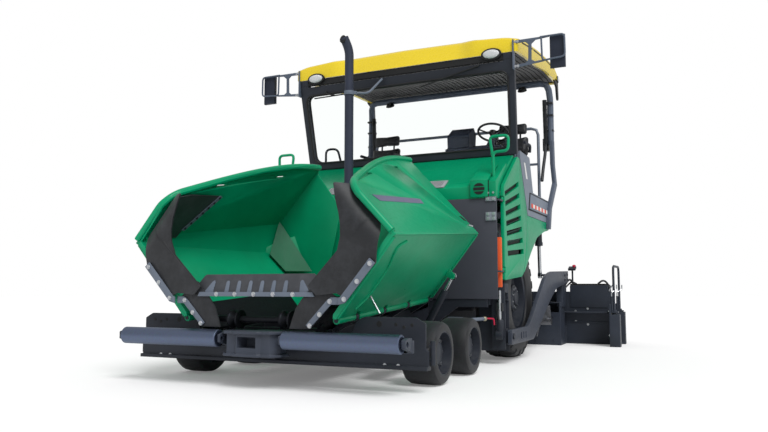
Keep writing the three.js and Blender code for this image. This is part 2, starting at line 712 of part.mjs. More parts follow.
function louvre(i) {
  const share = i / (louvreCount - 1);
  const left = [-745 + 75 * share, 1655 - 590 * share];
  const right = [-190 + 165 * share, 1830 - 715 * share];
  const height = 52;
  return plateX([
    left, right, [right[0] - 4, right[1] + height], [left[0] - 4, left[1] + height],
  ], panelX - 5, panelX + panelThickness + 5);
}
const louvres = [];
for (let i = 0; i < louvreCount; i++) louvres.push(louvre(i));
const doorPanel = cut(
  plateX(doorOutline, panelX, panelX + panelThickness),
  ...louvres,
  ...doorHingeZ.map((z) => block(panelX - 5, panelX + panelThickness + 5, -805, -765, z - 8, z + 54)),
);
const doorBarrels = doorHingeZ.flatMap((z) => [
  rod([doorHinge.x, doorHinge.y, z + 18], [doorHinge.x, doorHinge.y, z + 46], 12, 12),
  block(doorHinge.x - 6, doorHinge.x + 6, doorHinge.y, -760, z + 18, z + 46),
]);
addPair("side_door", cut(
  join(doorPanel, ...doorBarrels),
  ...doorHingeZ.map((z) => rod([doorHinge.x, doorHinge.y, z + 10], [doorHinge.x, doorHinge.y, z + 60], 6, 10)),
), "green");

const skirtGap = clear;
addPair("side_skirt", join(
  plateX([
    [50 + skirtGap, 1100], [-28, 912], [20, 930, 20], [300, 1130, 60], [620, 1330, 60], [1000, 1425, 60], [1250, 1460, 30],
    [1375, 1525, 10], [1375, 1548 - touch], [188 + skirtGap, 1548 - touch],
  ], panelX, panelX + panelThickness),
  block(bodyX + touch, panelX + 5, 260, 290, 1480, 1540),
  block(bodyX + touch, panelX + 5, 1150, 1180, 1480, 1540),
), "green");

// ---- operator platform ----
const sideWall = plateX([
  [196, 1552], [1400, 1552], [1290, 1830, 20], [470, 1838], [330, 2225, 20], [-104, 2235, 10], [-104, 2152],
], panelX, panelX + panelThickness);
const seatX = 880;
const seatY = 860;
const innerX = panelX - clear;
const platform = join(
  block(-innerX, innerX, hoodRear + touch, deckRear, deckTop - 22, deckTop),
  block(-innerX, innerX, hoodRear + touch, hoodRear + 20, deckBottom, 2160),
  block(-panelX - 5, panelX + 5, deckRear - 16, deckRear, deckBottom, deckTop),
  block(-bodyX, bodyX, hoodRear + touch, tractorRear, deckBottom, deckBottom + 12),
  ...bothSides(block(bodyX - 14, bodyX, hoodRear + 5, deckRear - 5, deckBottom, deckTop)),
  ...bothSides(block(innerX - 15, panelX + 5, 215, deckRear - 5, deckTop - 22, deckTop)),
  ...bothSides(sideWall),
  ...bothSides(block(innerX - 15, innerX, hoodRear + 5, 225, deckTop - 20, 2150)),
  ...bothSides(block(innerX - 15, innerX, hoodRear + 62, 225, 2100, 2230)),
  ...bothSides(block(innerX - 15, panelX + 5, 210, 225, deckTop - 20, 2200)),
  ...bothSides(rod([seatX, seatY, deckTop - 5], [seatX, seatY, 2160], 60, 12)),
  ...bothSides(block(seatX - 180, seatX + 180, seatY - 180, seatY + 180, 2150, 2180)),
  pipe([[-1150, deckRear - 40, deckTop - 5], [-1150, deckRear - 40, 2800], [1150, deckRear - 40, 2800],
    [1150, deckRear - 40, deckTop - 5]], 20, 90),
  rod([-1150, deckRear - 40, 2330], [1150, deckRear - 40, 2330], 16, 8),
);
add("operator_platform", platform, "lightGrey");

// ---- seats ----
const cushionShape = plateX([
  [seatY - 230, 2180 + touch], [seatY + 250, 2180 + touch], [seatY + 330, 2780, 40], [seatY + 220, 2830, 40],
  [seatY + 150, 2380, 30], [seatY - 250, 2330, 50],
], seatX - 235, seatX + 235);
addPair("seat", cushionShape, "black");

// ---- console with its steering wheel ----
const steerPlace = [880, 250, 2540];
const steerAxis = [0, 0.42, 0.9]; // the column leans back towards the seat
const console_ = join(
  block(400, 1060, -60, 200, deckTop + touch, 2330),
  plateX([[-40, 2320], [200, 2320], [230, 2520, 20], [150, 2600, 30], [-40, 2480, 30]], 420, 680),
  hull([
    [830, 60, 2320], [930, 60, 2320], [830, 190, 2320], [930, 190, 2320],
    [855, 190, 2480], [905, 190, 2480], [855, 240, 2458], [905, 240, 2458],
  ]),
  rod([880, 180, 2390], [880, 246, 2531.6], 18 - turning, 16),
);
add("operator_console", console_, "darkGrey");

const steerTurn = new THREE.Quaternion().setFromUnitVectors(
  new THREE.Vector3(0, 0, 1), new THREE.Vector3(...steerAxis).normalize());
const steeringRing = join(
  new THREE.TorusGeometry(175, 13, 6, 24),
  new THREE.CylinderGeometry(34, 34, 30, 16).rotateX(Math.PI / 2),
  ...[90, 210, 330].map((degrees) => {
    const angle = THREE.MathUtils.degToRad(degrees);
    return rod([0, 0, 0], [172 * Math.cos(angle), 172 * Math.sin(angle), 0], 9, 6);
  }),
  rod([120, 120, 0], [120, 120, 45], 14, 8),
);
add("steering_wheel", cut(
  steeringRing.applyQuaternion(steerTurn).translate(...steerPlace),
  rod([880, 180, 2390], [880, 247.5, 2535], 18, 16),
), "black");

// ---- windscreen frame, mirrors, roof and its rear frame ----
const screenPlace = new THREE.Matrix4().makeRotationX(windscreenLean).setPosition(0, hoodRear, sillHeight + touch);

function onScreen(geometry) {
  return geometry.applyMatrix4(screenPlace);
}
const screenFrame = cut(
  join(
    plateY([[-1278, 15], [1278, 15], [1316, windscreenHeight], [-1316, windscreenHeight]], -35, 35),
    ...bothSides(block(1200, 1300, -35, 35, windscreenHeight - 10, windscreenHeight + 78)),
  ),
  plateY([
    [-1210, 95, 90], [1210, 95, 90], [1240, 905, 90], [-1240, 905, 90],
  ], -60, 60),
);
add("windscreen_frame", onScreen(screenFrame), "darkGrey");
add("windscreen_glass", onScreen(plateY([
  [-1225, 80, 90], [1225, 80, 90], [1255, 920, 90], [-1255, 920, 90],
], 35 + touch, 35 + 6 + touch)), "glass");

const mirrorY = -440;
const mirrorArm = join(
  pipe([[1322, mirrorY, 3105], [1800, mirrorY, 3065], [1800, mirrorY, 3330], [1450, mirrorY, 3345],
    [1400, mirrorY, 3200], [1322, mirrorY, 3200]], 10, 40),
  block(1316.5, 1332, mirrorY - 20, mirrorY + 90, 3080, 3225),
  plateY([
    [1662, 3010, 30], [1842, 3010, 30], [1848, 3360, 30], [1668, 3360, 30],
  ], mirrorY + 6, mirrorY + 76),
);
addPair("mirror", mirrorArm, "darkGrey");

// The roof's sections from front to rear: y, lower edge, upper edge at the side, height at the middle.
const roofStations = [
  [-450, 3236, 3368, 3440], [-380, 3240, 3385, 3470], [0, 3290, 3460, 3560], [500, 3340, 3530, 3640],
  [1000, 3420, 3580, 3680], [1450, 3440, 3600, 3670], [1700, 3440, 3530, 3570],
];

function roofRing(y, low, side, middle) {
  const shares = [-1, -0.94, -0.66, -0.3, 0.3, 0.66, 0.94, 1];
  const rise = [0, 0.28, 0.72, 1, 1, 0.72, 0.28, 0];
  const top = shares.map((share, i) => [share * roofHalfWidth, y, side + (middle - side) * rise[i]]);
  return [[-roofHalfWidth, y, low], ...top, [roofHalfWidth, y, low]];
}
add("roof", loft(roofStations.map((station) => roofRing(...station))), "yellow");

const beamZ = 3398;
const rearFrame = join(
  pipe([[postX, 1480, 2590], [postX, 1500, 3210], [postX - 20, 1440, beamZ], [-postX + 20, 1440, beamZ],
    [-postX, 1500, 3210], [-postX, 1480, 2590]], 42, 90, 10),
  ...bothSides(plateX([
    [1430, 2640], [1530, 2640], [1545, 2330], [1650, 2080], [1290, 1730], [1200, 1470], [1120, 1470],
    [1180, 1740], [1535, 2100], [1440, 2330],
  ], panelX + panelThickness + touch, panelX + panelThickness + 45)),
);
add("roof_rear_frame", rearFrame, "darkGrey");

// ---- exhaust pipe with its stay ----
const exhaustTop = [exhaust.x - 40, exhaust.y - 55, 3530];
add("exhaust_pipe", join(
  pipe([[exhaust.x, exhaust.y, 1500 + touch], [exhaust.x, exhaust.y, 3400], exhaustTop], exhaustRadius, 50, 16, 3),
  rod([exhaust.x, exhaust.y, 2880], [exhaust.x, exhaust.y, 2925], exhaustRadius + 8, 16),
  pipe([[exhaust.x + 40, exhaust.y, 2902], [exhaust.x + 170, exhaust.y + 30, 2902], [exhaust.x + 260, -460, 3130]],
    11, 40),
  rod([exhaust.x + 260, -475, 3130], [exhaust.x + 260, -437.3, 3130], 20, 10),
), "darkGrey");

// ---- drive wheels ----
const wheelSides = 36;
const treadHalf = rearTyreWidth / 2;
const tyreProfile = [
  [-treadHalf + 40, rimRadius + touch], [treadHalf - 40, rimRadius + touch], [treadHalf, rimRadius + 120],
  [treadHalf - 12, rearTyreRadius - 45], [treadHalf - 60, rearTyreRadius], [-treadHalf + 60, rearTyreRadius],
  [-treadHalf + 12, rearTyreRadius - 45], [-treadHalf, rimRadius + 120], [-treadHalf + 40, rimRadius + touch],
];
addPair("rear_tyre", turnedX(tyreProfile, wheelSides).translate(rearWheelX, 0, rearTyreRadius), "rubber");
const rimProfile = [
  [-treadHalf + 45, rimRadius - 18], [-treadHalf + 45, rimRadius], [treadHalf - 45, rimRadius],
  [treadHalf - 45, rimRadius - 18], [50, 260], [110, 170], [110, 0], [95, 0], [95, spindleRadius],
  [-20, spindleRadius], [-20, 200], [20, 260], [-treadHalf + 45, rimRadius - 18],
];
addPair("rear_rim", turnedX(rimProfile, wheelSides).translate(rearWheelX, 0, rearTyreRadius), "darkGrey");

// ---- steered wheels on bogies ----
const frontHalf = frontTyreWidth / 2;
const stubAxleRadius = 34;
const wheelProfile = [
  [-frontHalf + 60, stubAxleRadius], [-frontHalf + 60, 90], [-frontHalf, 150], [-frontHalf, frontTyreRadius - 20],
  [-frontHalf + 20, frontTyreRadius], [frontHalf - 20, frontTyreRadius], [frontHalf, frontTyreRadius - 20],
  [frontHalf, 150], [frontHalf - 30, 90], [frontHalf - 30, stubAxleRadius], [-frontHalf + 60, stubAxleRadius],
];
const kingpinRadius = 26;
const knuckleHalf = 60;
["front", "rear"].forEach((end, i) => {
  const y = frontWheelY[i];
  const z = frontTyreRadius;
  addPair("front_wheel_" + end, turnedX(wheelProfile, 24).translate(frontWheelX, y, z), "rubber");
  const knuckle = cut(
    join(
      block(kingpinX - 32, kingpinX + 34, y - 34, y + 34, z - knuckleHalf, z + knuckleHalf),
      rod([kingpinX + 20, y, z], [frontWheelX - frontHalf + 52, y, z], 48, 16),
      rod([kingpinX + 20, y, z], [frontWheelX + 95, y, z], stubAxleRadius - turning, 16),
      block(kingpinX - 20, kingpinX + 20, y - 110, y, z - 20, z + 20),
    ),
    rod([kingpinX, y, z - knuckleHalf - 5], [kingpinX, y, z + knuckleHalf + 5], kingpinRadius, 16),
  );
  addPair("knuckle_" + end, knuckle, "darkGrey");
});

function bogieEnd(y) {
  const z = frontTyreRadius;
  return [
    rod([kingpinX, y, z - knuckleHalf - 30], [kingpinX, y, z + knuckleHalf + 30], kingpinRadius - turning, 16),
    block(690, kingpinX + 30, y - 34, y + 34, z + knuckleHalf + clear, z + knuckleHalf + 32),
    block(690, kingpinX + 30, y - 34, y + 34, z - knuckleHalf - 32, z - knuckleHalf - clear),
    block(690, 760, y - 60, y + 60, z - knuckleHalf - 32, z + knuckleHalf + 32),
  ];
}
const bogie = cut(
  join(
    block(650, 760, frontWheelY[0] - 60, frontWheelY[1] + 60, 215, 300),
    hull([
      [650, bogieY - 240, 300 - 20], [760, bogieY - 240, 280], [650, bogieY + 240, 280], [760, bogieY + 240, 280],
      [650, bogieY - 90, 400], [760, bogieY - 90, 400], [650, bogieY + 90, 400], [760, bogieY + 90, 400],
    ]),
    ...frontWheelY.flatMap(bogieEnd),
  ),
  rod([640, bogieY, bogieZ], [770, bogieY, bogieZ], bogiePinRadius, 16),
);
addPair("bogie", bogie, "darkGrey");

// ---- hopper wing cylinders ----
// A hydraulic cylinder between two eyes: [barrel, rod].
function cylinder(from, to, pinAxis, sizes) {
  const { barrelRadius, rodRadius, barrelLength, eyeRadius, pinRadius, openRadius, eyeHalf, stroke } = sizes;
  const along = to.clone().sub(from).normalize();
  const place = (distance) => from.clone().addScaledVector(along, distance).toArray();
  const end = from.distanceTo(to);
  const across = (centre, half, radius) => rod(
    centre.clone().addScaledVector(pinAxis, -half).toArray(),
    centre.clone().addScaledVector(pinAxis, half).toArray(), radius, 16);
  const barrel = cut(
    join(rod(place(eyeRadius * 0.7), place(barrelLength), barrelRadius, 16), across(from, eyeHalf, eyeRadius)),
    across(from, eyeHalf + 20, pinRadius),
    rod(place(eyeRadius + 14), place(barrelLength + 10), rodRadius + turning, 12),
  );
  const piston = cut(
    join(rod(place(eyeRadius + 20 + stroke), place(end - openRadius), rodRadius, 12), across(to, eyeHalf, openRadius + 11)),
    across(to, eyeHalf + 20, openRadius),
  );
  return [barrel, piston];
}
const [wingBarrel, wingPiston] = cylinder(
  new THREE.Vector3(...barrelEye), new THREE.Vector3(...wingEye), new THREE.Vector3(0, 1, 0), {
    barrelRadius: 34, rodRadius: 17, barrelLength: 440, eyeRadius: 27, pinRadius: 13, openRadius: 27, eyeHalf: 15, stroke: 90,
  });
addPair("wing_cylinder", inHopper(wingBarrel), "darkGrey");
addPair("wing_rod", inHopper(wingPiston), "steel");

// ---- screed arms, lift cylinders and screed ----
const arm = cut(
  plateX([
    [towPoint.x - 60, 340, 30], [towPoint.x - 60, 195, 20], [140, 195, 60], [1040, 610, 120], [1400, 742, 60],
    [2180, 826], [2185, 975], [1120, 948, 120], [787, 880, 80], [20, 398, 60], [-100, 345, 30],
  ], armX, armX + armThickness),
  rod([armX - 5, ...towPoint], [armX + armThickness + 5, ...towPoint], 30, 16),
  ...[-420, -330, -240].map((y) => plateX([
    [y, 232, 8], [y + 36, 232, 8], [y + 36, 300, 8], [y, 300, 8],
  ], armX - 5, armX + armThickness + 5)),
);
const liftPin = rod([liftX - 24, ...liftFoot], [armX + 5, ...liftFoot], 14, 12);
addPair("screed_arm", join(arm, liftPin), "darkGrey");

const liftAxis = new THREE.Vector3(1, 0, 0);
const [liftBarrel, liftPiston] = cylinder(
  new THREE.Vector3(liftX, ...liftTop), new THREE.Vector3(liftX, ...liftFoot), liftAxis, {
    barrelRadius: 42, rodRadius: 22, barrelLength: 420, eyeRadius: 34, pinRadius: 18, openRadius: 28, eyeHalf: 20, stroke: 290,
  });
addPair("lift_cylinder", liftBarrel, "darkGrey");
addPair("lift_rod", liftPiston, "steel");

const screedRear = screedFront + screedDepth;
const screedBody = join(
  block(-screedHalf, screedHalf, screedFront, screedRear, 0, 14),
  block(-screedHalf, screedHalf, screedFront, screedFront + 20, 0, 430),
  block(-screedHalf, screedHalf, screedFront + 10, screedRear - 30, 400, 414),
  block(-screedHalf, screedHalf, screedRear - 20, screedRear, 10, 240),
  ...bothSides(block(screedHalf - 20, screedHalf, screedFront, screedRear - 100, 10, screedHeight)),
  block(-screedHalf + 5, screedHalf - 5, screedFront + 40, screedRear - 20, 546, screedHeight),
  block(-20, 20, screedFront + 5, screedRear - 5, 5, screedHeight - 5),
  ...bothSides(block(screedHalf - 60, armX - touch, screedFront + 70, screedRear - 40, 500, 960)),
);
add("screed_body", screedBody, "darkGrey");

const extensionFront = screedRear + clear;
const extensionRear = extensionFront + extensionDepth;
const endPlateX = extensionReach;
const extension = join(
  block(extensionReach - extensionLength, extensionReach, extensionFront, extensionRear, 0, 14),
  block(extensionReach - extensionLength, extensionReach, extensionFront, extensionFront + 14, 5, 700),
  block(extensionReach - extensionLength, extensionReach - 60, screedRear - 85, extensionFront + 5, 414.4, 430),
  block(extensionReach - extensionLength, extensionReach, extensionRear - 14, extensionRear, 5, 480),
  block(extensionReach - extensionLength, extensionReach, extensionFront + 5, extensionRear, 466, 480),
  block(extensionReach - 560, extensionReach - 60, extensionFront, extensionRear - 20, 700 - 5, 784),
  block(extensionReach - 560, extensionReach - 60, extensionFront + 5, extensionRear - 20, 470, 700),
  block(extensionReach - 14, extensionReach + 5, extensionFront, extensionRear, 5, 480),
  block(endPlateX, endPlateX + 130, screedFront, screedFront + 120, 0, 410),
  block(endPlateX, endPlateX + 24, screedFront, screedFront + 670, 0, 540),
  block(endPlateX, endPlateX + 130, screedFront + 560, screedFront + 660, 0, 430),
  block(endPlateX, endPlateX + 90, screedFront, screedFront + 670, 0, 25),
  block(extensionReach - extensionLength, extensionReach, extensionRear - 5, extensionRear + 330, 300, 318),
  ...[0, 1, 2].map((i) => block(
    extensionReach - extensionLength + 20 + i * 590, extensionReach - extensionLength + 35 + i * 590,
    extensionRear - 5, extensionRear + 320, 200, 305)),
  pipe([
    [endPlateX + 60, screedFront + 60, 400], [endPlateX + 60, screedFront + 60, 1030],
    [endPlateX + 60, screedFront + 610, 1030], [endPlateX + 60, screedFront + 610, 420],
  ], 17, 70),
);
addPair("screed_extension", extension, "darkGrey");

// ---- augers: flat half-turn blades on a tube, each tilted to follow the pitch ----
const augerPitch = 380;
const augerStart = 68;
const augerEnd = 1230;

function augerBlade(x, i) {
  const half = new THREE.Shape().absarc(0, 0, augerRadius, 0, Math.PI, false);
  const turn = new THREE.Matrix4().makeBasis(
    new THREE.Vector3(0, 1, 0), new THREE.Vector3(0, 0, 1), new THREE.Vector3(1, 0, 0));
  return extruded(half, 14, 5).translate(0, 0, -7).applyMatrix4(turn)
    .rotateZ(Math.atan2(augerPitch / 4, augerRadius)).rotateX(i * Math.PI).translate(x, 0, 0);
}
const blades = [];
for (let i = 0; augerStart + (i + 1) * (augerPitch / 2) < augerEnd; i++) {
  blades.push(augerBlade(augerStart + (i + 0.5) * (augerPitch / 2), i));
}
addPair("auger", cut(
  join(rod([augerStart, 0, 0], [augerEnd, 0, 0], 52, 16), ...blades),
  rod([augerStart - 5, 0, 0], [augerStart + 62, 0, 0], 40, 16),
).translate(0, augerY, augerZ), "darkGrey");

// The origin goes under the middle of the whole machine.
const whole = new THREE.Box3().setFromObject(paver);
paver.position.y = -(whole.min.y + whole.max.y) / 2;

export default paver;
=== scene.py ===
import bpy
import bmesh
import json
import math
from mathutils import Matrix, Vector

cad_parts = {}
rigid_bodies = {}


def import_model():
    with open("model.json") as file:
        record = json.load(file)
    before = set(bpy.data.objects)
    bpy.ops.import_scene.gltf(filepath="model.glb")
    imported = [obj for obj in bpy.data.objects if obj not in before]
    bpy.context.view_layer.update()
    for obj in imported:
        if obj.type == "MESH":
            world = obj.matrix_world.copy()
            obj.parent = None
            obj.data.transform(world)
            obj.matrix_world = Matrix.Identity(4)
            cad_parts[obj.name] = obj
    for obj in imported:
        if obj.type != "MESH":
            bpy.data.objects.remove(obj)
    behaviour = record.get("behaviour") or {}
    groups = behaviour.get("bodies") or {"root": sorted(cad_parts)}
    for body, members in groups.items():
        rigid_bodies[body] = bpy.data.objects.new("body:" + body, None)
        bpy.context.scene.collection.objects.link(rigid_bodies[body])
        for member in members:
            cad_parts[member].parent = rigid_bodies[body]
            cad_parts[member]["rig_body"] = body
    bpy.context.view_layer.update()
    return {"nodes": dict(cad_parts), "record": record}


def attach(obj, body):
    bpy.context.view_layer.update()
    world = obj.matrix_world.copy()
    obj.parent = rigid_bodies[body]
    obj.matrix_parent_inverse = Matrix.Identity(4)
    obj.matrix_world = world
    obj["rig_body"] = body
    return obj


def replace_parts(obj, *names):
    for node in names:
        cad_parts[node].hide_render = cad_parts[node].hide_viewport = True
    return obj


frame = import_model()
scene = bpy.context.scene
scene.view_settings.view_transform = "Standard"


# ---- camera ----
# The camera stands low in front of the machine's left front corner and looks slightly up.
camera = bpy.data.objects.new("camera", bpy.data.cameras.new("camera"))
camera.data.sensor_width = 36
camera.data.lens = 33.51
camera.location = (3.172, -7.530, 0.743)
camera.rotation_euler = (math.radians(95.78), 0, math.radians(24.95))
scene.collection.objects.link(camera)
scene.camera = camera


# ---- floor and light ----
# A wide matt white studio floor that fades into a white room. It keeps the soft shadow under the machine.
# One broad lamp high on the left of the machine stands in for the ceiling light.
def tint(code):
    """An sRGB hex colour as linear RGBA."""
    parts = [int(code[i:i + 2], 16) / 255 for i in (1, 3, 5)]
    return tuple(p / 12.92 if p <= 0.04045 else ((p + 0.055) / 1.055) ** 2.4 for p in parts) + (1.0,)


def node(tree, kind, settings=None, inputs=None):
    """Adds one node. An input is a value, or the output socket it is linked from."""
    made = tree.nodes.new(kind)
    for name, value in (settings or {}).items():
        setattr(made, name, value)
    for name, value in (inputs or {}).items():
        if isinstance(value, bpy.types.NodeSocket):
            tree.links.new(value, made.inputs[name])
        else:
            made.inputs[name].default_value = value
    return made


def new_tree(owner):
    owner.use_nodes = True
    owner.node_tree.nodes.clear()
    return owner.node_tree


world = bpy.data.worlds.new("studio")
scene.world = world
tree = new_tree(world)
path = node(tree, "ShaderNodeLightPath")
shown = node(tree, "ShaderNodeMath", {"operation": "MAXIMUM"},
             {0: path.outputs["Is Camera Ray"], 1: path.outputs["Is Transmission Ray"]})
room = node(tree, "ShaderNodeBackground", None, {"Color": tint("#FFFFFF"), "Strength": 0.54})
white = node(tree, "ShaderNodeBackground", None, {"Color": tint("#FFFFFF"), "Strength": 1.0})
backdrop = node(tree, "ShaderNodeMixShader", None, {0: shown.outputs[0], 1: room.outputs[0], 2: white.outputs[0]})
node(tree, "ShaderNodeOutputWorld", None, {"Surface": backdrop.outputs[0]})

lamp = bpy.data.objects.new("ceiling_lamp", bpy.data.lights.new("ceiling_lamp", "SUN"))
lamp.data.energy = 2.0
lamp.data.angle = math.radians(28)
lamp.rotation_euler = Vector((0.62, -0.52, 0.9)).to_track_quat("Z", "Y").to_euler()
scene.collection.objects.link(lamp)

floor_paint = bpy.data.materials.new("matt white studio floor")
tree = new_tree(floor_paint)
path = node(tree, "ShaderNodeLightPath")
matt = node(tree, "ShaderNodeBsdfDiffuse", None, {"Color": tint("#F2F2F2")})
lift = node(tree, "ShaderNodeMath", {"operation": "MULTIPLY"}, {0: path.outputs["Is Camera Ray"], 1: 0.16})
glow = node(tree, "ShaderNodeEmission", None, {"Color": tint("#FFFFFF"), "Strength": lift.outputs[0]})
both = node(tree, "ShaderNodeAddShader", None, {0: matt.outputs[0], 1: glow.outputs[0]})
node(tree, "ShaderNodeOutputMaterial", None, {"Surface": both.outputs[0]})

work = bmesh.new()
bmesh.ops.create_circle(work, cap_ends=True, segments=96, radius=60)
mesh = bpy.data.meshes.new("studio_floor")
work.to_mesh(mesh)
work.free()
mesh.materials.append(floor_paint)
floor = bpy.data.objects.new("studio_floor", mesh)
scene.collection.objects.link(floor)


# ---- chassis ----
# Two deep side members with cross plates, cut from thick steel plate and welded, then powder coated slate grey.
# The coat is a little uneven, scuffed low down, and holds grey road dust on its upward faces.
def at(x, y, z):
    """Millimetres from the ground under the rear axle, to metres in the machine's frame."""
    return Vector((x / 1000, (y + 147) / 1000, z / 1000))


def powder_coat(name, colour, shade, gloss, dust):
    """Sprayed and baked powder on steel: colour, its darker tone, roughness, share of dust."""
    made = bpy.data.materials.new(name)
    tree = new_tree(made)
    place = node(tree, "ShaderNodeTexCoord").outputs["Object"]
    broad = node(tree, "ShaderNodeTexNoise", None, {"Vector": place, "Scale": 1.9, "Detail": 3.0, "Roughness": 0.6})
    tone = node(tree, "ShaderNodeMapRange", None, {"Value": broad.outputs[0], "From Min": 0.35, "From Max": 0.68})
    coat = node(tree, "ShaderNodeMix", {"data_type": "RGBA"},
                {0: tone.outputs[0], 6: tint(colour), 7: tint(shade)})
    scuff = node(tree, "ShaderNodeTexNoise", None, {"Vector": place, "Scale": 24.0, "Detail": 8.0, "Roughness": 0.72})
    up = node(tree, "ShaderNodeSeparateXYZ", None, {0: node(tree, "ShaderNodeNewGeometry").outputs["Normal"]})
    lies = node(tree, "ShaderNodeMapRange", None,
                {"Value": up.outputs[2], "From Min": 0.25, "From Max": 1.0, "To Min": 0.12, "To Max": 1.0})
    patch = node(tree, "ShaderNodeMapRange", None,
                 {"Value": scuff.outputs[0], "From Min": 0.38, "From Max": 0.75, "To Min": 0.0, "To Max": dust})
    dusty = node(tree, "ShaderNodeMath", {"operation": "MULTIPLY"}, {0: lies.outputs[0], 1: patch.outputs[0]})
    seen = node(tree, "ShaderNodeMix", {"data_type": "RGBA"},
                {0: dusty.outputs[0], 6: coat.outputs[2], 7: tint("#9A9890")})
    rough = node(tree, "ShaderNodeMapRange", None,
                 {"Value": scuff.outputs[0], "From Min": 0.3, "From Max": 0.75, "To Min": gloss, "To Max": gloss + 0.16})
    # Orange peel is about 2 mm across on powder coat, and is drawn at 4 mm so that it shows.
    peel = node(tree, "ShaderNodeTexNoise", None, {"Vector": place, "Scale": 250.0, "Detail": 1.0})
    bump = node(tree, "ShaderNodeBump", None, {"Height": peel.outputs[0], "Strength": 0.12, "Distance": 0.0006})
    shell = node(tree, "ShaderNodeBsdfPrincipled", None, {
        "Base Color": seen.outputs[2], "Roughness": rough.outputs[0], "Normal": bump.outputs[0],
        "Specular IOR Level": 0.22, "Coat Weight": 0.06, "Coat Roughness": 0.18})
    node(tree, "ShaderNodeOutputMaterial", None, {"Surface": shell.outputs[0]})
    return made


slate_coat = powder_coat("slate grey powder coat", "#2E323C", "#272B33", 0.40, 0.10)


def shaped(work, name, edge=0.0, turn=35):
    """A bmesh made a mesh: doubles merged, faces outwards, edges broken, round faces smooth."""
    bmesh.ops.remove_doubles(work, verts=work.verts, dist=2e-5)
    bmesh.ops.recalc_face_normals(work, faces=work.faces)
    if edge:
        sharp = [e for e in work.edges if e.is_manifold and e.calc_face_angle(0) > math.radians(turn)
                 and e.calc_length() > 3 * edge]
        bmesh.ops.bevel(work, geom=sharp, offset=edge, offset_type="OFFSET", segments=2, profile=0.6,
                        affect="EDGES", clamp_overlap=False)
    mesh = bpy.data.meshes.new(name)
    work.to_mesh(mesh)
    work.free()
    mesh.polygons.foreach_set("use_smooth", [True] * len(mesh.polygons))
    mesh.set_sharp_from_angle(angle=math.radians(turn))
    return mesh


def piece(name, body, slot, mesh, *finishes):
    """A finished piece that rides on a body of the machine."""
    for finish in finishes:
        mesh.materials.append(finish)
    made = bpy.data.objects.new(name, mesh)
    scene.collection.objects.link(made)
    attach(made, body)
    return made


slot_of = {part["node"]: part["material_slot"] for part in frame["record"]["subparts"]}


def machined(name, finish, edge=0.004):
    """The steel piece as it was cut and welded, with its edges broken by the coat."""
    work = bmesh.new()
    work.from_mesh(frame["nodes"][name].data)
    bmesh.ops.remove_doubles(work, verts=work.verts, dist=2e-5)
    bmesh.ops.dissolve_limit(work, angle_limit=0.012, verts=work.verts[:], edges=work.edges[:])
    made = piece(name + "_shell", frame["nodes"][name]["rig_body"], slot_of[name],
                 shaped(work, name + "_shell", edge), finish)
    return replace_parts(made, name) or made


for name in ("chassis_frame", "front_crossbeam"):
    machined(name, slate_coat)


# ---- bolts ----
# Zinc-plated hexagon bolts on flat washers hold every bolted plate. Zinc is bright, slightly yellow and a bit dull.
def grown(mesh, tree, values):
    """The mesh that a geometry tree makes of a mesh, with these inputs, as a plain mesh."""
    holder = bpy.data.objects.new("holder", mesh)
    scene.collection.objects.link(holder)
    modifier = holder.modifiers.new("grown", "NODES")
    modifier.node_group = tree
    for item in tree.interface.items_tree:
        if item.item_type == "SOCKET" and item.in_out == "INPUT" and item.name in values:
            modifier[item.identifier] = values[item.name]
    bpy.context.view_layer.update()
    made = bpy.data.meshes.new_from_object(holder.evaluated_get(bpy.context.evaluated_depsgraph_get()))
    holder.modifiers.remove(modifier)
    bpy.data.objects.remove(holder)
    return made


def geometry_tree(name, sockets):
    tree = bpy.data.node_groups.new(name, "GeometryNodeTree")
    tree.interface.new_socket("Geometry", in_out="INPUT", socket_type="NodeSocketGeometry")
    for label, kind in sockets.items():
        tree.interface.new_socket(label, in_out="INPUT", socket_type=kind)
    tree.interface.new_socket("Geometry", in_out="OUTPUT", socket_type="NodeSocketGeometry")
    return tree, node(tree, "NodeGroupInput")


bolt_tree, given = geometry_tree("hexagon bolts", {
    "Head Radius": "NodeSocketFloat", "Head Height": "NodeSocketFloat", "Washer Radius": "NodeSocketFloat",
    "Finish": "NodeSocketMaterial"})
head = node(bolt_tree, "GeometryNodeMeshCylinder", None,
            {"Vertices": 6, "Radius": given.outputs["Head Radius"], "Depth": given.outputs["Head Height"]})
half = node(bolt_tree, "ShaderNodeMath", {"operation": "MULTIPLY"}, {0: given.outputs["Head Height"], 1: 0.5})
rise = node(bolt_tree, "ShaderNodeCombineXYZ", None, {"Z": half.outputs[0]})
raised = node(bolt_tree, "GeometryNodeTransform", None, {"Geometry": head.outputs["Mesh"], "Translation": rise.outputs[0]})
washer = node(bolt_tree, "GeometryNodeMeshCylinder", None,
              {"Vertices": 14, "Radius": given.outputs["Washer Radius"], "Depth": 0.005})
bolt = node(bolt_tree, "GeometryNodeJoinGeometry")
bolt_tree.links.new(raised.outputs[0], bolt.inputs[0])
bolt_tree.links.new(washer.outputs["Mesh"], bolt.inputs[0])
facing = node(bolt_tree, "GeometryNodeInputNamedAttribute", {"data_type": "FLOAT_VECTOR"}, {"Name": "facing"})
turned = node(bolt_tree, "FunctionNodeAlignRotationToVector", {"axis": "Z"}, {"Vector": facing.outputs[0]})
placed = node(bolt_tree, "GeometryNodeInstanceOnPoints", None,
              {"Points": given.outputs["Geometry"], "Instance": bolt.outputs[0], "Rotation": turned.outputs[0]})
real = node(bolt_tree, "GeometryNodeRealizeInstances", None, {"Geometry": placed.outputs[0]})
ready = node(bolt_tree, "GeometryNodeSetMaterial", None,
             {"Geometry": real.outputs[0], "Material": given.outputs["Finish"]})
node(bolt_tree, "NodeGroupOutput", None, {"Geometry": ready.outputs[0]})


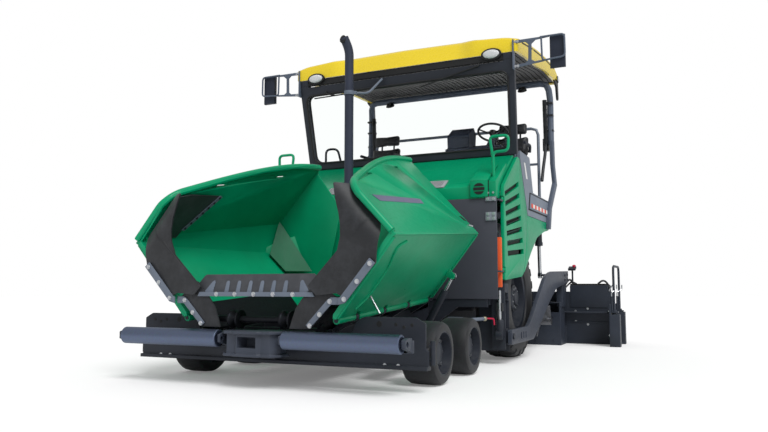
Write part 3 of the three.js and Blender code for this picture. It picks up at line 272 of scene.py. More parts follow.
def bolts(name, body, slot, places, radius, finish):
    """Bolts at (point, direction that the head faces)."""
    mesh = bpy.data.meshes.new(name)
    mesh.from_pydata([p for p, _ in places], [], [])
    ways = mesh.attributes.new("facing", "FLOAT_VECTOR", "POINT")
    ways.data.foreach_set("vector", [c for _, way in places for c in way])
    made = grown(mesh, bolt_tree, {"Head Radius": radius, "Head Height": radius * 0.8, "Washer Radius": radius * 1.35,
                                   "Finish": finish})
    made.name = name
    return piece(name, body, slot, made)


def plain_metal(name, colour, rough, grain):
    """Bare or plated metal with fine scratches."""
    made = bpy.data.materials.new(name)
    tree = new_tree(made)
    place = node(tree, "ShaderNodeTexCoord").outputs["Object"]
    marks = node(tree, "ShaderNodeTexNoise", None, {"Vector": place, "Scale": grain, "Detail": 6.0, "Roughness": 0.7})
    spread = node(tree, "ShaderNodeMapRange", None,
                  {"Value": marks.outputs[0], "From Min": 0.3, "From Max": 0.7, "To Min": rough, "To Max": rough + 0.18})
    tone = node(tree, "ShaderNodeMix", {"data_type": "RGBA", "blend_type": "MULTIPLY"},
                {0: 0.35, 6: tint(colour), 7: marks.outputs[1]})
    shell = node(tree, "ShaderNodeBsdfPrincipled", None,
                 {"Base Color": tone.outputs[2], "Metallic": 1.0, "Roughness": spread.outputs[0]})
    node(tree, "ShaderNodeOutputMaterial", None, {"Surface": shell.outputs[0]})
    return made


zinc = plain_metal("zinc-plated steel", "#D9DCE0", 0.28, 120.0)
front = Vector((0, -1, 0))
bolts("crossbeam_bolts", "tractor", "paint_dark_grey",
      [(at(x, -2931, 190), front) for x in (-1106, -1009, 970, 1076)], 0.012, zinc)
bolts("crossbeam_dark_bolts", "tractor", "paint_dark_grey",
      [(at(x, -2931, 188), front) for x in (-779, -722, 725, 823)], 0.011, slate_coat)


# ---- holes in the crossbeam and the chassis web ----
# Round holes burnt through the plates are drawn as thin dark discs on the plate face, with a clean edge: painted shade
# for the dark space behind them.
def lathe(work, profile, centre, axis, steps=48):
    """Spins (along, radius) points about an axis through the centre."""
    turn = Vector(axis).normalized().to_track_quat("X", "Z").to_matrix()
    rings = []
    for along, radius in profile:
        if radius < 1e-6:
            rings.append([work.verts.new(centre + turn @ Vector((along, 0, 0)))])
        else:
            rings.append([work.verts.new(centre + turn @ Vector((
                along, radius * math.cos(2 * math.pi * i / steps), radius * math.sin(2 * math.pi * i / steps))))
                for i in range(steps)])
    for a, b in zip(rings, rings[1:]):
        for i in range(steps):
            j = (i + 1) % steps
            corners = [a[i % len(a)], a[j % len(a)], b[j % len(b)], b[i % len(b)]]
            unique = [v for k, v in enumerate(corners) if v not in corners[:k]]
            if len(unique) > 2:
                work.faces.new(unique)
    for ring in (rings[0], rings[-1]):
        if len(ring) > 1:
            work.faces.new(ring)


# Near-black steel for the engine block and the joysticks. The same material is painted shade: dark discs, slots and
# sheets laid where holes and gaps are in shadow.
dark_steel_and_painted_shade = bpy.data.materials.new("dark oiled steel and painted shade")
tree = new_tree(dark_steel_and_painted_shade)
soot = node(tree, "ShaderNodeTexNoise", None,
            {"Vector": node(tree, "ShaderNodeTexCoord").outputs["Object"], "Scale": 30.0})
shade = node(tree, "ShaderNodeMix", {"data_type": "RGBA"}, {0: soot.outputs[0], 6: tint("#0B0C0E"), 7: tint("#16181B")})
shell = node(tree, "ShaderNodeBsdfPrincipled", None, {"Base Color": shade.outputs[2], "Roughness": 0.7})
node(tree, "ShaderNodeOutputMaterial", None, {"Surface": shell.outputs[0]})

work = bmesh.new()
for side in (1, -1):
    for x, z, r in ((1183, 483, 13), (1120, 466, 13), (1058, 484, 13), (925, 486, 22), (590, 190, 14), (980, 300, 20)):
        lathe(work, [(0, 0), (0, r / 1000), (0.0015, r / 1000 - 0.002), (0.0015, 0)], at(side * x, -2930, z), front, 20)
piece("crossbeam_holes", "tractor", "paint_dark_grey", shaped(work, "crossbeam_holes"), dark_steel_and_painted_shade)


# ---- steered wheels ----
# Four solid rubber tyres pressed on cast rims, two on each side on a rocking beam. The rubber is black and a bit chalky
# from wear, and the rims are powder coated like the chassis.
def rubber(name, colour, worn, rough):
    made = bpy.data.materials.new(name)
    tree = new_tree(made)
    place = node(tree, "ShaderNodeTexCoord").outputs["Object"]
    chalk = node(tree, "ShaderNodeTexNoise", None, {"Vector": place, "Scale": 7.0, "Detail": 7.0, "Roughness": 0.7})
    share = node(tree, "ShaderNodeMapRange", None, {"Value": chalk.outputs[0], "From Min": 0.42, "From Max": 0.75})
    tone = node(tree, "ShaderNodeMix", {"data_type": "RGBA"}, {0: share.outputs[0], 6: tint(colour), 7: tint(worn)})
    # Moulded rubber has a fine pebble of under 1 mm, drawn here at 3 mm.
    pebble = node(tree, "ShaderNodeTexVoronoi", None, {"Vector": place, "Scale": 330.0})
    bump = node(tree, "ShaderNodeBump", None, {"Height": pebble.outputs[0], "Strength": 0.15, "Distance": 0.0008})
    shell = node(tree, "ShaderNodeBsdfPrincipled", None, {
        "Base Color": tone.outputs[2], "Roughness": rough, "Normal": bump.outputs[0], "Specular IOR Level": 0.4,
        "Sheen Weight": 0.08})
    node(tree, "ShaderNodeOutputMaterial", None, {"Surface": shell.outputs[0]})
    return made


tyre_rubber = rubber("vulcanised tyre rubber", "#15161A", "#22242A", 0.62)
solid_tyre = [(-0.140, 0.170), (-0.140, 0.205), (-0.132, 0.228), (-0.112, 0.240), (-0.06, 0.2445), (0.06, 0.2445),
              (0.112, 0.240), (0.132, 0.228), (0.140, 0.205), (0.140, 0.170), (-0.140, 0.170)]
small_rim = [(-0.118, 0.0), (-0.118, 0.158), (-0.138, 0.160), (-0.138, 0.172), (0.138, 0.172), (0.138, 0.160),
             (0.112, 0.156), (0.070, 0.148), (0.062, 0.100), (0.092, 0.086), (0.098, 0.060), (0.098, 0.0)]
for end, y in (("front", -2410), ("rear", -1658)):
    for side, k in (("left", 1), ("right", -1)):
        body = "front_wheel_%s_%s" % (end, side)
        work = bmesh.new()
        lathe(work, solid_tyre[:-1] + [solid_tyre[0]], at(k * 1097, y, 245), (k, 0, 0), 72)
        bmesh.ops.delete(work, geom=[f for f in work.faces if len(f.verts) > 8], context="FACES_ONLY")
        tyre = piece(body + "_tyre", body, "tyre_rubber", shaped(work, body + "_tyre"), tyre_rubber)
        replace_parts(tyre, body)
        work = bmesh.new()
        lathe(work, small_rim, at(k * 1097, y, 245), (k, 0, 0), 48)
        piece(body + "_rim", body, "paint_dark_grey", shaped(work, body + "_rim"), slate_coat)
        ring = [(at(k * 1165, y, 245) + Vector((0, 0.118 * math.cos(a), 0.118 * math.sin(a))), Vector((k, 0, 0)))
                for a in (2 * math.pi * i / 8 for i in range(8))]
        bolts(body + "_nuts", body, "paint_dark_grey", ring, 0.014, zinc)

for end in ("front", "rear"):
    for side in ("left", "right"):
        machined("knuckle_%s_%s" % (end, side), slate_coat)
for side in ("left", "right"):
    machined("bogie_" + side, slate_coat)


# ---- drive wheels ----
# Big pneumatic traction tyres with slanted bars vulcanised on a round carcass, on dished steel rims with a hub drive.
row_tree, given = geometry_tree("row of like pieces", {
    "Count": "NodeSocketInt", "Step": "NodeSocketVector", "Finish": "NodeSocketMaterial"})
line = node(row_tree, "GeometryNodeMeshLine", {"mode": "OFFSET"},
            {"Count": given.outputs["Count"], "Offset": given.outputs["Step"]})
placed = node(row_tree, "GeometryNodeInstanceOnPoints", None,
              {"Points": line.outputs[0], "Instance": given.outputs["Geometry"]})
real = node(row_tree, "GeometryNodeRealizeInstances", None, {"Geometry": placed.outputs[0]})
ready = node(row_tree, "GeometryNodeSetMaterial", None, {"Geometry": real.outputs[0], "Material": given.outputs["Finish"]})
node(row_tree, "NodeGroupOutput", None, {"Geometry": ready.outputs[0]})

ring_tree, given = geometry_tree("ring of like pieces", {
    "Count": "NodeSocketInt", "Centre": "NodeSocketVector", "Axis": "NodeSocketVector", "Finish": "NodeSocketMaterial"})
spots = node(ring_tree, "GeometryNodeMeshLine", {"mode": "OFFSET"},
             {"Count": given.outputs["Count"], "Start Location": given.outputs["Centre"], "Offset": (0, 0, 0)})
number = node(ring_tree, "GeometryNodeInputIndex")
share = node(ring_tree, "ShaderNodeMath", {"operation": "DIVIDE"}, {0: number.outputs[0], 1: given.outputs["Count"]})
angle = node(ring_tree, "ShaderNodeMath", {"operation": "MULTIPLY"}, {0: share.outputs[0], 1: 2 * math.pi})
spin = node(ring_tree, "FunctionNodeAxisAngleToRotation", None, {"Axis": given.outputs["Axis"], "Angle": angle.outputs[0]})
placed = node(ring_tree, "GeometryNodeInstanceOnPoints", None,
              {"Points": spots.outputs[0], "Instance": given.outputs["Geometry"], "Rotation": spin.outputs[0]})
real = node(ring_tree, "GeometryNodeRealizeInstances", None, {"Geometry": placed.outputs[0]})
ready = node(ring_tree, "GeometryNodeSetMaterial", None, {"Geometry": real.outputs[0], "Material": given.outputs["Finish"]})
node(ring_tree, "NodeGroupOutput", None, {"Geometry": ready.outputs[0]})

carcass = [(-0.118, 0.332), (-0.150, 0.352), (-0.166, 0.400), (-0.170, 0.470), (-0.165, 0.545), (-0.152, 0.592),
           (-0.128, 0.612), (-0.07, 0.621), (0.0, 0.624)]
carcass += [(-x, r) for x, r in reversed(carcass[:-1])]
dished_rim = [(-0.060, 0.0), (-0.060, 0.120), (-0.030, 0.130), (-0.030, 0.296), (-0.128, 0.304), (-0.136, 0.350),
              (-0.122, 0.350), (-0.112, 0.334), (0.112, 0.334), (0.122, 0.350), (0.136, 0.350), (0.128, 0.304),
              (0.040, 0.292), (0.022, 0.262), (0.030, 0.226), (0.030, 0.160), (0.050, 0.150), (0.096, 0.144),
              (0.108, 0.128), (0.110, 0.084), (0.126, 0.076), (0.130, 0.0)]
for side, k in (("left", 1), ("right", -1)):
    hub = at(k * 1060, 0, 640)
    body = "drive_wheel_" + side
    work = bmesh.new()
    lathe(work, carcass + [carcass[0]], hub, (k, 0, 0), 96)
    bmesh.ops.delete(work, geom=[f for f in work.faces if len(f.verts) > 8], context="FACES_ONLY")
    tyre = piece(body + "_tyre", body, "tyre_rubber", shaped(work, body + "_tyre"), tyre_rubber)
    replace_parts(tyre, "rear_tyre_" + side)
    for half, start in ((1, 0.0), (-1, 0.5)):
        work = bmesh.new()
        rows = []
        for x, low, high, turn in ((0.168, 0.560, 0.575, 0.0), (0.150, 0.580, 0.618, 0.02), (0.09, 0.600, 0.634, 0.07),
                                   (0.010, 0.606, 0.638, 0.13)):
            row = []
            for radius, wide in ((low, 0.046), (high, 0.034)):
                for way in (-1, 1):
                    a = turn + way * wide / radius + start * 2 * math.pi / 24
                    row.append(work.verts.new(Vector((half * x, radius * math.sin(a), radius * math.cos(a)))))
            rows.append([row[0], row[1], row[3], row[2]])
        for a, b in zip(rows, rows[1:]):
            for i in range(4):
                work.faces.new((a[i], a[(i + 1) % 4], b[(i + 1) % 4], b[i]))
        work.faces.new(rows[0])
        work.faces.new(rows[-1])
        lugs = grown(shaped(work, "lug", 0.003), ring_tree,
                     {"Count": 24, "Centre": hub, "Axis": (1, 0, 0), "Finish": tyre_rubber})
        piece("%s_tread_%s" % (body, "outer" if half * k > 0 else "inner"), body, "tyre_rubber", lugs)
    work = bmesh.new()
    lathe(work, dished_rim, hub, (k, 0, 0), 72)
    rim = piece(body + "_rim", body, "paint_dark_grey", shaped(work, body + "_rim"), slate_coat)
    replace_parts(rim, "rear_rim_" + side)
    ring = [(hub + Vector((k * 0.03, 0.194 * math.cos(a), 0.194 * math.sin(a))), Vector((k, 0, 0)))
            for a in (2 * math.pi * i / 12 for i in range(12))]
    bolts(body + "_nuts", body, "paint_dark_grey", ring, 0.017, slate_coat)
    ring = [(hub + Vector((k * 0.109, 0.105 * math.cos(a), 0.105 * math.sin(a))), Vector((k, 0, 0)))
            for a in (2 * math.pi * i / 9 for i in range(9))]
    bolts(body + "_cap_bolts", body, "paint_dark_grey", ring, 0.008, zinc)


# ---- push rollers ----
# Two steel tubes turn on fixed pins in front of the machine and push the lorry's wheels. Their grey coat is polished
# by the tyres that run on them, so they shine more than the frame does.
roller_coat = plain_metal("polished grey steel", "#74809A", 0.34, 60.0)
machined("push_roller_bar", powder_coat("grey coupling coat", "#414754", "#383D48", 0.38, 0.10))
for side, k in (("left", 1), ("right", -1)):
    body = "push_roller_" + side
    work = bmesh.new()
    lathe(work, [(0.294, 0.0), (0.294, 0.040), (0.291, 0.050), (0.291, 0.060), (0.296, 0.0665), (1.222, 0.0665),
                 (1.227, 0.060), (1.227, 0.050), (1.222, 0.040), (1.222, 0.0)],
          at(0, -3210, 366), (k, 0, 0), 64)
    roller = piece(body + "_tube", body, "paint_light_grey", shaped(work, body + "_tube"), roller_coat)
    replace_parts(roller, body)


# ---- conveyor and tunnel floor ----
# Drag bars of wear-resistant steel on chains scrape the mix back over a hardened floor plate. Hot asphalt keeps
# both nearly black with brighter rubbed ridges.
tar_steel = plain_metal("asphalt-blackened wear steel", "#33353A", 0.48, 45.0)
machined("conveyor", tar_steel, 0.002)


def tube(work, points, radius, bend=0.04, sides=14):
    """A bent round bar through these points."""
    points = [Vector(p) for p in points]
    line = [points[0]]
    for before, corner, after in zip(points, points[1:], points[2:]):
        reach = min(bend, (corner - before).length * 0.49, (after - corner).length * 0.49)
        start, end = corner + (before - corner).normalized() * reach, corner + (after - corner).normalized() * reach
        for i in range(7):
            t = i / 6
            line.append(start * (1 - t) ** 2 + corner * 2 * t * (1 - t) + end * t ** 2)
    line.append(points[-1])
    line = [p for i, p in enumerate(line) if i == 0 or (p - line[i - 1]).length > 1e-5]
    way = (line[1] - line[0]).normalized()
    across = way.orthogonal().normalized()
    rings = []
    for i, p in enumerate(line):
        ahead = ((line[min(i + 1, len(line) - 1)] - p).normalized() + (p - line[max(i - 1, 0)]).normalized()).normalized()
        across = (across - ahead * across.dot(ahead)).normalized()
        other = ahead.cross(across)
        rings.append([work.verts.new(p + radius * (across * math.cos(2 * math.pi * k / sides)
                                                   + other * math.sin(2 * math.pi * k / sides))) for k in range(sides)])
    for a, b in zip(rings, rings[1:]):
        for k in range(sides):
            work.faces.new((a[k], a[(k + 1) % sides], b[(k + 1) % sides], b[k]))
    work.faces.new(rings[0])
    work.faces.new(rings[-1])


def slab(work, corners, depth):
    """A flat plate with this outline, as thick as the depth vector."""
    low = [work.verts.new(Vector(c)) for c in corners]
    high = [work.verts.new(v.co + Vector(depth)) for v in low]
    work.faces.new(low)
    work.faces.new(high)
    for i in range(len(low)):
        j = (i + 1) % len(low)
        work.faces.new((low[i], low[j], high[j], high[i]))


# The tail sprockets of the two conveyor chains sit in the tunnel mouth on a cross shaft.
work = bmesh.new()
for x in (-235, 235):
    for way in (-1, 1):
        lathe(work, [(0, 0), (0, 0.030), (0.010, 0.042), (0.022, 0.062), (0.030, 0.072), (0.044, 0.072), (0.044, 0)],
              at(x, -3070, 505), (way, 0, 0), 24)
lathe(work, [(-0.43, 0), (-0.43, 0.026), (0.43, 0.026), (0.43, 0)], at(0, -3070, 505), (1, 0, 0), 20)
piece("tail_sprockets", "tractor", "worn_steel", shaped(work, "tail_sprockets", 0.003), tar_steel)


# ---- augers ----
# Two screws of hard cast flights on a round shaft spread the mix to both sides. Their faces are ground bright by it.
worn_steel = plain_metal("ground wear steel", "#7E8085", 0.34, 60.0)
for side, k in (("left", 1), ("right", -1)):
    body = "auger_" + side
    work = bmesh.new()
    lathe(work, [(0.070, 0), (0.070, 0.051), (1.228, 0.051), (1.228, 0)], at(0, 1560, 330), (k, 0, 0), 24)
    steps, pitch, start, end = 26, 0.38, 0.085, 1.215
    count = int((end - start) / pitch * steps)
    rows = []
    for i in range(count + 1):
        x = start + (end - start) * i / count
        a = 2 * math.pi * (x - start) / pitch
        ring = []
        for radius, thick in ((0.048, 0.011), (0.199, 0.006)):
            for way in (-1, 1):
                ring.append(work.verts.new(at(0, 1560, 330) + Vector((
                    k * (x + way * thick), radius * math.sin(a), radius * math.cos(a)))))
        rows.append([ring[0], ring[1], ring[3], ring[2]])
    for a, b in zip(rows, rows[1:]):
        for i in range(4):
            work.faces.new((a[i], a[(i + 1) % 4], b[(i + 1) % 4], b[i]))
    work.faces.new(rows[0])
    work.faces.new(rows[-1])
    screw = piece(body + "_screw", body, "worn_steel", shaped(work, body + "_screw"), worn_steel)
    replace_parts(screw, body)


# ---- hopper ----
# Folded and welded sheet steel in bright traffic green: a fixed rear wall with sloping sides, and two wings that
# fold up on long piano hinges. Mix leaves faint scuffs inside. The coat is smooth and fairly glossy.
green_coat = powder_coat("traffic green powder coat", "#009C6C", "#009063", 0.26, 0.0)
floor_pan = machined("hopper_floor", green_coat, 0.003)
work = bmesh.new()
work.from_mesh(floor_pan.data)
for spot, way in ((Vector((0, 0, 0.70)), Vector((0, 0, 1))), (Vector((0, -1.6, 0)), Vector((0, 1, 0)))):
    bmesh.ops.bisect_plane(work, geom=work.verts[:] + work.edges[:] + work.faces[:], plane_co=spot, plane_no=way)
for f in work.faces:
    middle = f.calc_center_median()
    if middle.z < 0.70 and middle.y < -1.6:
        f.material_index = 1
work.to_mesh(floor_pan.data)
work.free()
floor_pan.data.materials.append(tar_steel)

tip, turn = math.sin(math.radians(4.1)), math.cos(math.radians(4.1))


def hop(x, y, z):
    """A point in the tipped frame of the hopper, in mm."""
    return at(x, -3150 + y * turn - z * tip, 508 + y * tip + z * turn)


def on_side(k, y, h, out=0):
    """A point on a wing's upper panel: y back from its front edge, h up from its fold, out from its face."""
    return hop(k * (1170 - 0.6743 * h + 0.7385 * out), y, 615 + 0.7385 * h + 0.6743 * out)


def on_floor(k, y, s, out=0):
    """A point on a wing's lower panel: y back from its front edge, s out from the hinge, out from its face."""
    return hop(k * (676 + 0.6266 * s + 0.7793 * out), y, 0.7793 * s - 0.6266 * out)


def rim_height(y):
    if y < 110:
        return 410 + (480 - 410) * y / 40 if y < 40 else 480 + (540 - 480) * (y - 40) / 70
    return 540 + 445 * math.sin(math.pi / 2 * (y - 110) / 1790)


stripe_film = powder_coat("grey stripe film", "#6D6B86", "#66647E", 0.32, 0.05)
shadow_gap = dark_steel_and_painted_shade
for side, k in (("left", 1), ("right", -1)):
    body = "wing_" + side
    wing = machined("hopper_wing_" + side, green_coat, 0.003)

    # two lifting slots through the upper panel, just under the rim
    work = bmesh.new()
    for y0, y1, h0, h1 in ((488, 604, 638, 660), (1262, 1378, 802, 824)):
        slab(work, [on_side(k, y0, h0, -60), on_side(k, y1, h0 + 16, -60), on_side(k, y1, h1 + 16, -60),
                    on_side(k, y0, h1, -60)], on_side(k, 0, 0, 90) - on_side(k, 0, 0, -30))
    tool = bpy.data.objects.new("slot_tool", shaped(work, "slot_tool"))
    scene.collection.objects.link(tool)
    cutter = wing.modifiers.new("slots", "BOOLEAN")
    cutter.operation, cutter.object, cutter.solver = "DIFFERENCE", tool, "EXACT"
    bpy.context.view_layer.update()
    cut = bpy.data.meshes.new_from_object(wing.evaluated_get(bpy.context.evaluated_depsgraph_get()))
    wing.modifiers.remove(cutter)
    bpy.data.objects.remove(tool)
    wing.data = cut

    # the rolled rim tube round the free edge
    work = bmesh.new()
    path = [on_side(k, -6, 30), on_side(k, -4, 380)]
    path += [on_side(k, y, rim_height(y)) for y in [2, 40, 110] + [110 + 1790 * i / 14 for i in range(1, 15)]]
    tube(work, path, 0.0262, 0.05, 16)
    piece(body + "_rim_tube", body, "paint_green", shaped(work, body + "_rim_tube"), green_coat)

    # a pressed stiffening bead on the outside of the lower panel, and the folded lip along its front edge
    work = bmesh.new()
    tube(work, [on_floor(k, y, s, 3) for y, s in ((300, 715), (205, 672), (225, 600), (300, 480), (300, 200), (215, 90))],
         0.013, 0.12, 12)
    tube(work, [on_floor(k, y, s, 4) for y, s in ((16, 30), (16, 760))], 0.012, 0.02, 12)
    tube(work, [on_floor(k, 1884, 30, 4), on_floor(k, 1884, 770, 4)], 0.011, 0.02, 12)
    piece(body + "_pressed_bead", body, "paint_green", shaped(work, body + "_pressed_bead"), green_coat)

    # a film stripe along the upper panel
    work = bmesh.new()
    slab(work, [on_side(k, 195, 392, 1.0), on_side(k, 1150, 402, 1.0), on_side(k, 1138, 345, 1.0), on_side(k, 250, 330, 1.0)],
         on_side(k, 0, 0, 2.0) - on_side(k, 0, 0, 0))
    piece(body + "_stripe", body, "paint_light_grey", shaped(work, body + "_stripe"), stripe_film)

    # a drain hole in the lower panel and the slot of the wing lock, both drawn as dark shapes of painted shade, and the
    # lock's chrome pin at the rear corner
    work = bmesh.new()
    lathe(work, [(0, 0), (0, 0.020), (0.002, 0.017), (0.002, 0)], on_floor(k, 336, 195, 0.5),
          on_floor(k, 0, 0, 1) - on_floor(k, 0, 0, 0), 24)
    slab(work, [on_side(k, 1790, 215, 0.5), on_side(k, 1850, 205, 0.5), on_side(k, 1872, 150, 0.5), on_side(k, 1812, 160, 0.5)],
         on_side(k, 0, 0, 2) - on_side(k, 0, 0, 0))
    piece(body + "_openings", body, "paint_green", shaped(work, body + "_openings"), shadow_gap)
    work = bmesh.new()
    tube(work, [on_side(k, 1800, 95, 6), on_side(k, 1885, 80, 6)], 0.009, 0.01, 12)
    piece(body + "_lock_pin", body, "chrome_rod", shaped(work, body + "_lock_pin"), zinc)

    # the long piano hinge: green and grey knuckles in turn on one pin
    for first, coat, slot in ((0, green_coat, "paint_green"), (1, slate_coat, "paint_dark_grey")):
        work = bmesh.new()
        lathe(work, [(0, 0), (0, 0.019), (0.108, 0.019), (0.108, 0)],
              hop(k * 676, 130 + 112 * first, -2), hop(0, 1, 0) - hop(0, 0, 0), 16)
        run = (hop(0, 224, 0) - hop(0, 0, 0))
        knuckles = grown(shaped(work, "knuckle", 0.002), row_tree, {"Count": 8, "Step": run, "Finish": coat})
        piece("%s_hinge_%s" % (body, "green" if first == 0 else "grey"), body if first == 0 else "tractor", slot, knuckles)


# ---- wing flaps ----
# Thick reinforced rubber sheet closes the front corner of each wing. It hangs flat in front and rolls back in a
# quarter turn against the inside of the upper panel. Flat steel strips with zinc bolts clamp its edges.
flap_rubber = rubber("reinforced rubber sheet", "#1D1F23", "#33353A", 0.48)
# This coat is rougher where the mix scours, and its darker green is painted shade of the hopper's inside.
scoured_coat_with_painted_shade = powder_coat("scoured green coat with painted shade", "#006B47", "#006240", 0.50, 0.0)
strip_coat = powder_coat("light grey powder coat", "#6E7785", "#626B79", 0.36, 0.10)


def between(chain, t):
    """The value at t on a chain of (t, value) points."""
    for (t0, a), (t1, b) in zip(chain, chain[1:]):
        if t <= t1:
            return a + (b - a) * (t - t0) / (t1 - t0)
    return chain[-1][1]


outer_edge = [(-54, 240), (95, 67), (167, 26), (529, 26), (594, 84)]
inner_edge = [(-54, 590), (0, 610), (60, 690), (100, 745), (199, 750), (216, 397), (270, 306), (332, 246), (400, 200), (497, 150), (594, 96)]
for side, k in (("left", 1), ("right", -1)):
    body = "wing_" + side

    def flap_at(t, q, y):
        return hop(k * (1170 - 0.6743 * t - 0.7385 * q), y, 615 + 0.7385 * t - 0.6743 * q)

    work = bmesh.new()
    roll = 190
    grid = []
    for i in range(37):
        t = -54 + 648 * i / 36
        low, high = between(outer_edge, t), between(inner_edge, t)
        row = []
        for j in range(21):
            q = low + (high - low) * (j / 20) ** 1.3
            back = roll - math.sqrt(max(0, roll ** 2 - max(0, roll - q) ** 2))
            sag = -14 * math.sin(math.pi * min(1, max(0, (q - 60) / 400))) * math.sin(math.pi * i / 36)
            out = 10 * min(1, max(0, (q - 420) / 120))
            row.append(work.verts.new(flap_at(t, q, -30 - out + back + sag)))
        grid.append(row)
    for a, b in zip(grid, grid[1:]):
        for j in range(20):
            work.faces.new((a[j], a[j + 1], b[j + 1], b[j]))
    bmesh.ops.recalc_face_normals(work, faces=work.faces)
    bmesh.ops.solidify(work, geom=work.faces[:], thickness=0.012)
    slab(work, [flap_at(h, 40, y) for y, h in ((60, 70), (60, 520), (215, 556), (575, 564), (389, 190), (370, 90))],
         flap_at(0, 50, 0) - flap_at(0, 40, 0))
    flap = piece(body + "_flap", body, "flap_rubber", shaped(work, body + "_flap", 0, 50), flap_rubber)
    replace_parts(flap, "upper_flap_" + side)

    work = bmesh.new()
    slab(work, [hop(k * x, -52, z) for x, z in ((1033, 414), (790, 136), (735, 122), (735, 172), (752, 178), (991, 450))],
         hop(0, -40, 0) - hop(0, -52, 0))
    piece(body + "_front_strip", body, "paint_light_grey", shaped(work, body + "_front_strip", 0.003), strip_coat)
    forward = hop(0, -1, 0) - hop(0, 0, 0)
    bolts(body + "_strip_bolts", body, "paint_light_grey",
          [(hop(k * x, -52, z), forward) for x, z in ((995, 412), (891, 288), (784, 163))], 0.0135, zinc)
    work = bmesh.new()
    slab(work, [flap_at(h, 50, y) for y, h in ((368, 178), (408, 165), (612, 560), (570, 575))],
         flap_at(0, 56, 0) - flap_at(0, 50, 0))
    piece(body + "_inner_strip", body, "paint_dark_grey", shaped(work, body + "_inner_strip", 0.002), strip_coat)
    inward = flap_at(0, 1, 0) - flap_at(0, 0, 0)
    bolts(body + "_inner_bolts", body, "paint_dark_grey",
          [(flap_at(200 + 58 * i, 56, 396 + 31 * i), inward) for i in range(7)], 0.009, slate_coat)
    # a plate closes the wing's rear inside corner; its darker green is painted shade
    work = bmesh.new()
    slab(work, [at(k * 950, -1404, 1440), at(k * 955, -1562, 1090), at(k * 808, -1492, 918), at(k * 600, -1318, 918)],
         (k * 0.0038, 0.0043, -0.0018))
    piece(body + "_corner_plate", body, "paint_green", shaped(work, body + "_corner_plate"), scoured_coat_with_painted_shade)
    # the stay that holds the wing's lower panel off the frame
    work = bmesh.new()
    tube(work, [at(k * 800, -2826, 690), at(k * 885, -2833, 556)], 0.008, 0.01, 12)
    piece(body + "_stay", body, "chrome_rod", shaped(work, body + "_stay"), zinc)


# ---- front apron ----
# A rubber-faced steel plate with a comb of eight welded fingers closes the conveyor's front, and two more rubber flaps
# hang beside it. Dog-leg strips and five zinc bolts clamp them to the frame.
apron_face = rubber("scuffed apron rubber", "#3B3D42", "#4A4C51", 0.5)
work = bmesh.new()
lean = Vector((0, 0.05 / 0.163, 1.0))
corners = [at(x, -3175 + (z - 690) * 0.3, z) for x, z in
           ((-540, 690), (540, 690), (552, 760), (545, 790), (505, 842), (488, 852), (-488, 852), (-505, 842), (-545, 790), (-552, 760))]
slab(work, corners, (0, 0.012, 0))
apron = piece("apron_plate", "tractor", "flap_rubber", shaped(work, "apron_plate", 0.003), apron_face)
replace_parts(apron, "front_apron")
work = bmesh.new()
for k in (1, -1):
    slab(work, [at(k * x, -3175, z) for x, z in
                ((310, 448), (486, 448), (656, 628), (694, 688), (610, 742), (540, 800), (498, 753), (420, 672), (365, 600))], (0, 0.013, 0))
piece("lower_flaps", "tractor", "flap_rubber", shaped(work, "lower_flaps", 0.003), flap_rubber)
work = bmesh.new()
slab(work, [at(x, -3188, z) for x, z in ((-528, 682), (528, 682), (510, 716), (-510, 716))], (0, 0.012, 0))
for k in (1, -1):
    slab(work, [at(k * x, -3186, z) for x, z in ((728, 627), (728, 680), (664, 680), (636, 664), (456, 478), (486, 452), (664, 627))],
         (0, 0.010, 0))
    slab(work, [at(k * x, -3180 + (z - 690) * 0.3, z) for x, z in ((392, 712), (480, 712), (412, 800), (396, 806), (386, 790))], (0, 0.01, 0))
piece("apron_strips", "tractor", "paint_light_grey", shaped(work, "apron_strips", 0.003), strip_coat)
work = bmesh.new()
finger = [(-19, 712), (19, 712), (15, 790), (8, 802), (-8, 802), (-15, 790)]
slab(work, [at(x - 264, -3181 + (z - 690) * 0.3, z) for x, z in finger], (0, 0.01, 0))
fingers = grown(shaped(work, "finger", 0.002), row_tree, {"Count": 6, "Step": (0.1057, 0, 0), "Finish": strip_coat})
piece("comb_fingers", "tractor", "paint_light_grey", fingers)
bolts("apron_bolts", "tractor", "paint_light_grey",
      [(at(x, -3188, 699), front) for x in (-345, -173, 0, 173, 345)] +
      [(at(k * x, -3186, z), front) for k in (1, -1) for x, z in ((655, 650), (572, 556), (491, 474))], 0.0135, zinc)


# ---- bulkhead and engine ----
# A plain slate grey plate across the machine behind the hopper, with the engine and its cooler behind it.
machined("bulkhead", powder_coat("slate grey bulkhead coat", "#4A4C55", "#43454E", 0.44, 0.05))
machined("engine_block", dark_steel_and_painted_shade, 0.02)
work = bmesh.new()
for k in (1, -1):
    for z0, z1 in ((1596, 1700), (1404, 1488)):
        slab(work, [at(k * x, -922, z) for x, z in ((1128, z0), (1236, z0), (1236, z1), (1128, z1))], (0, 0.009, 0))
piece("hinge_leaves", "tractor", "paint_dark_grey", shaped(work, "hinge_leaves", 0.002), powder_coat("hinge grey powder coat", "#8F959F", "#858B95", 0.34, 0.08))
bolts("hinge_bolts", "tractor", "paint_dark_grey",
      [(at(k * x, -923, z), front) for k in (1, -1) for z in (1618, 1678, 1424, 1470) for x in (1154, 1212)], 0.012, zinc)
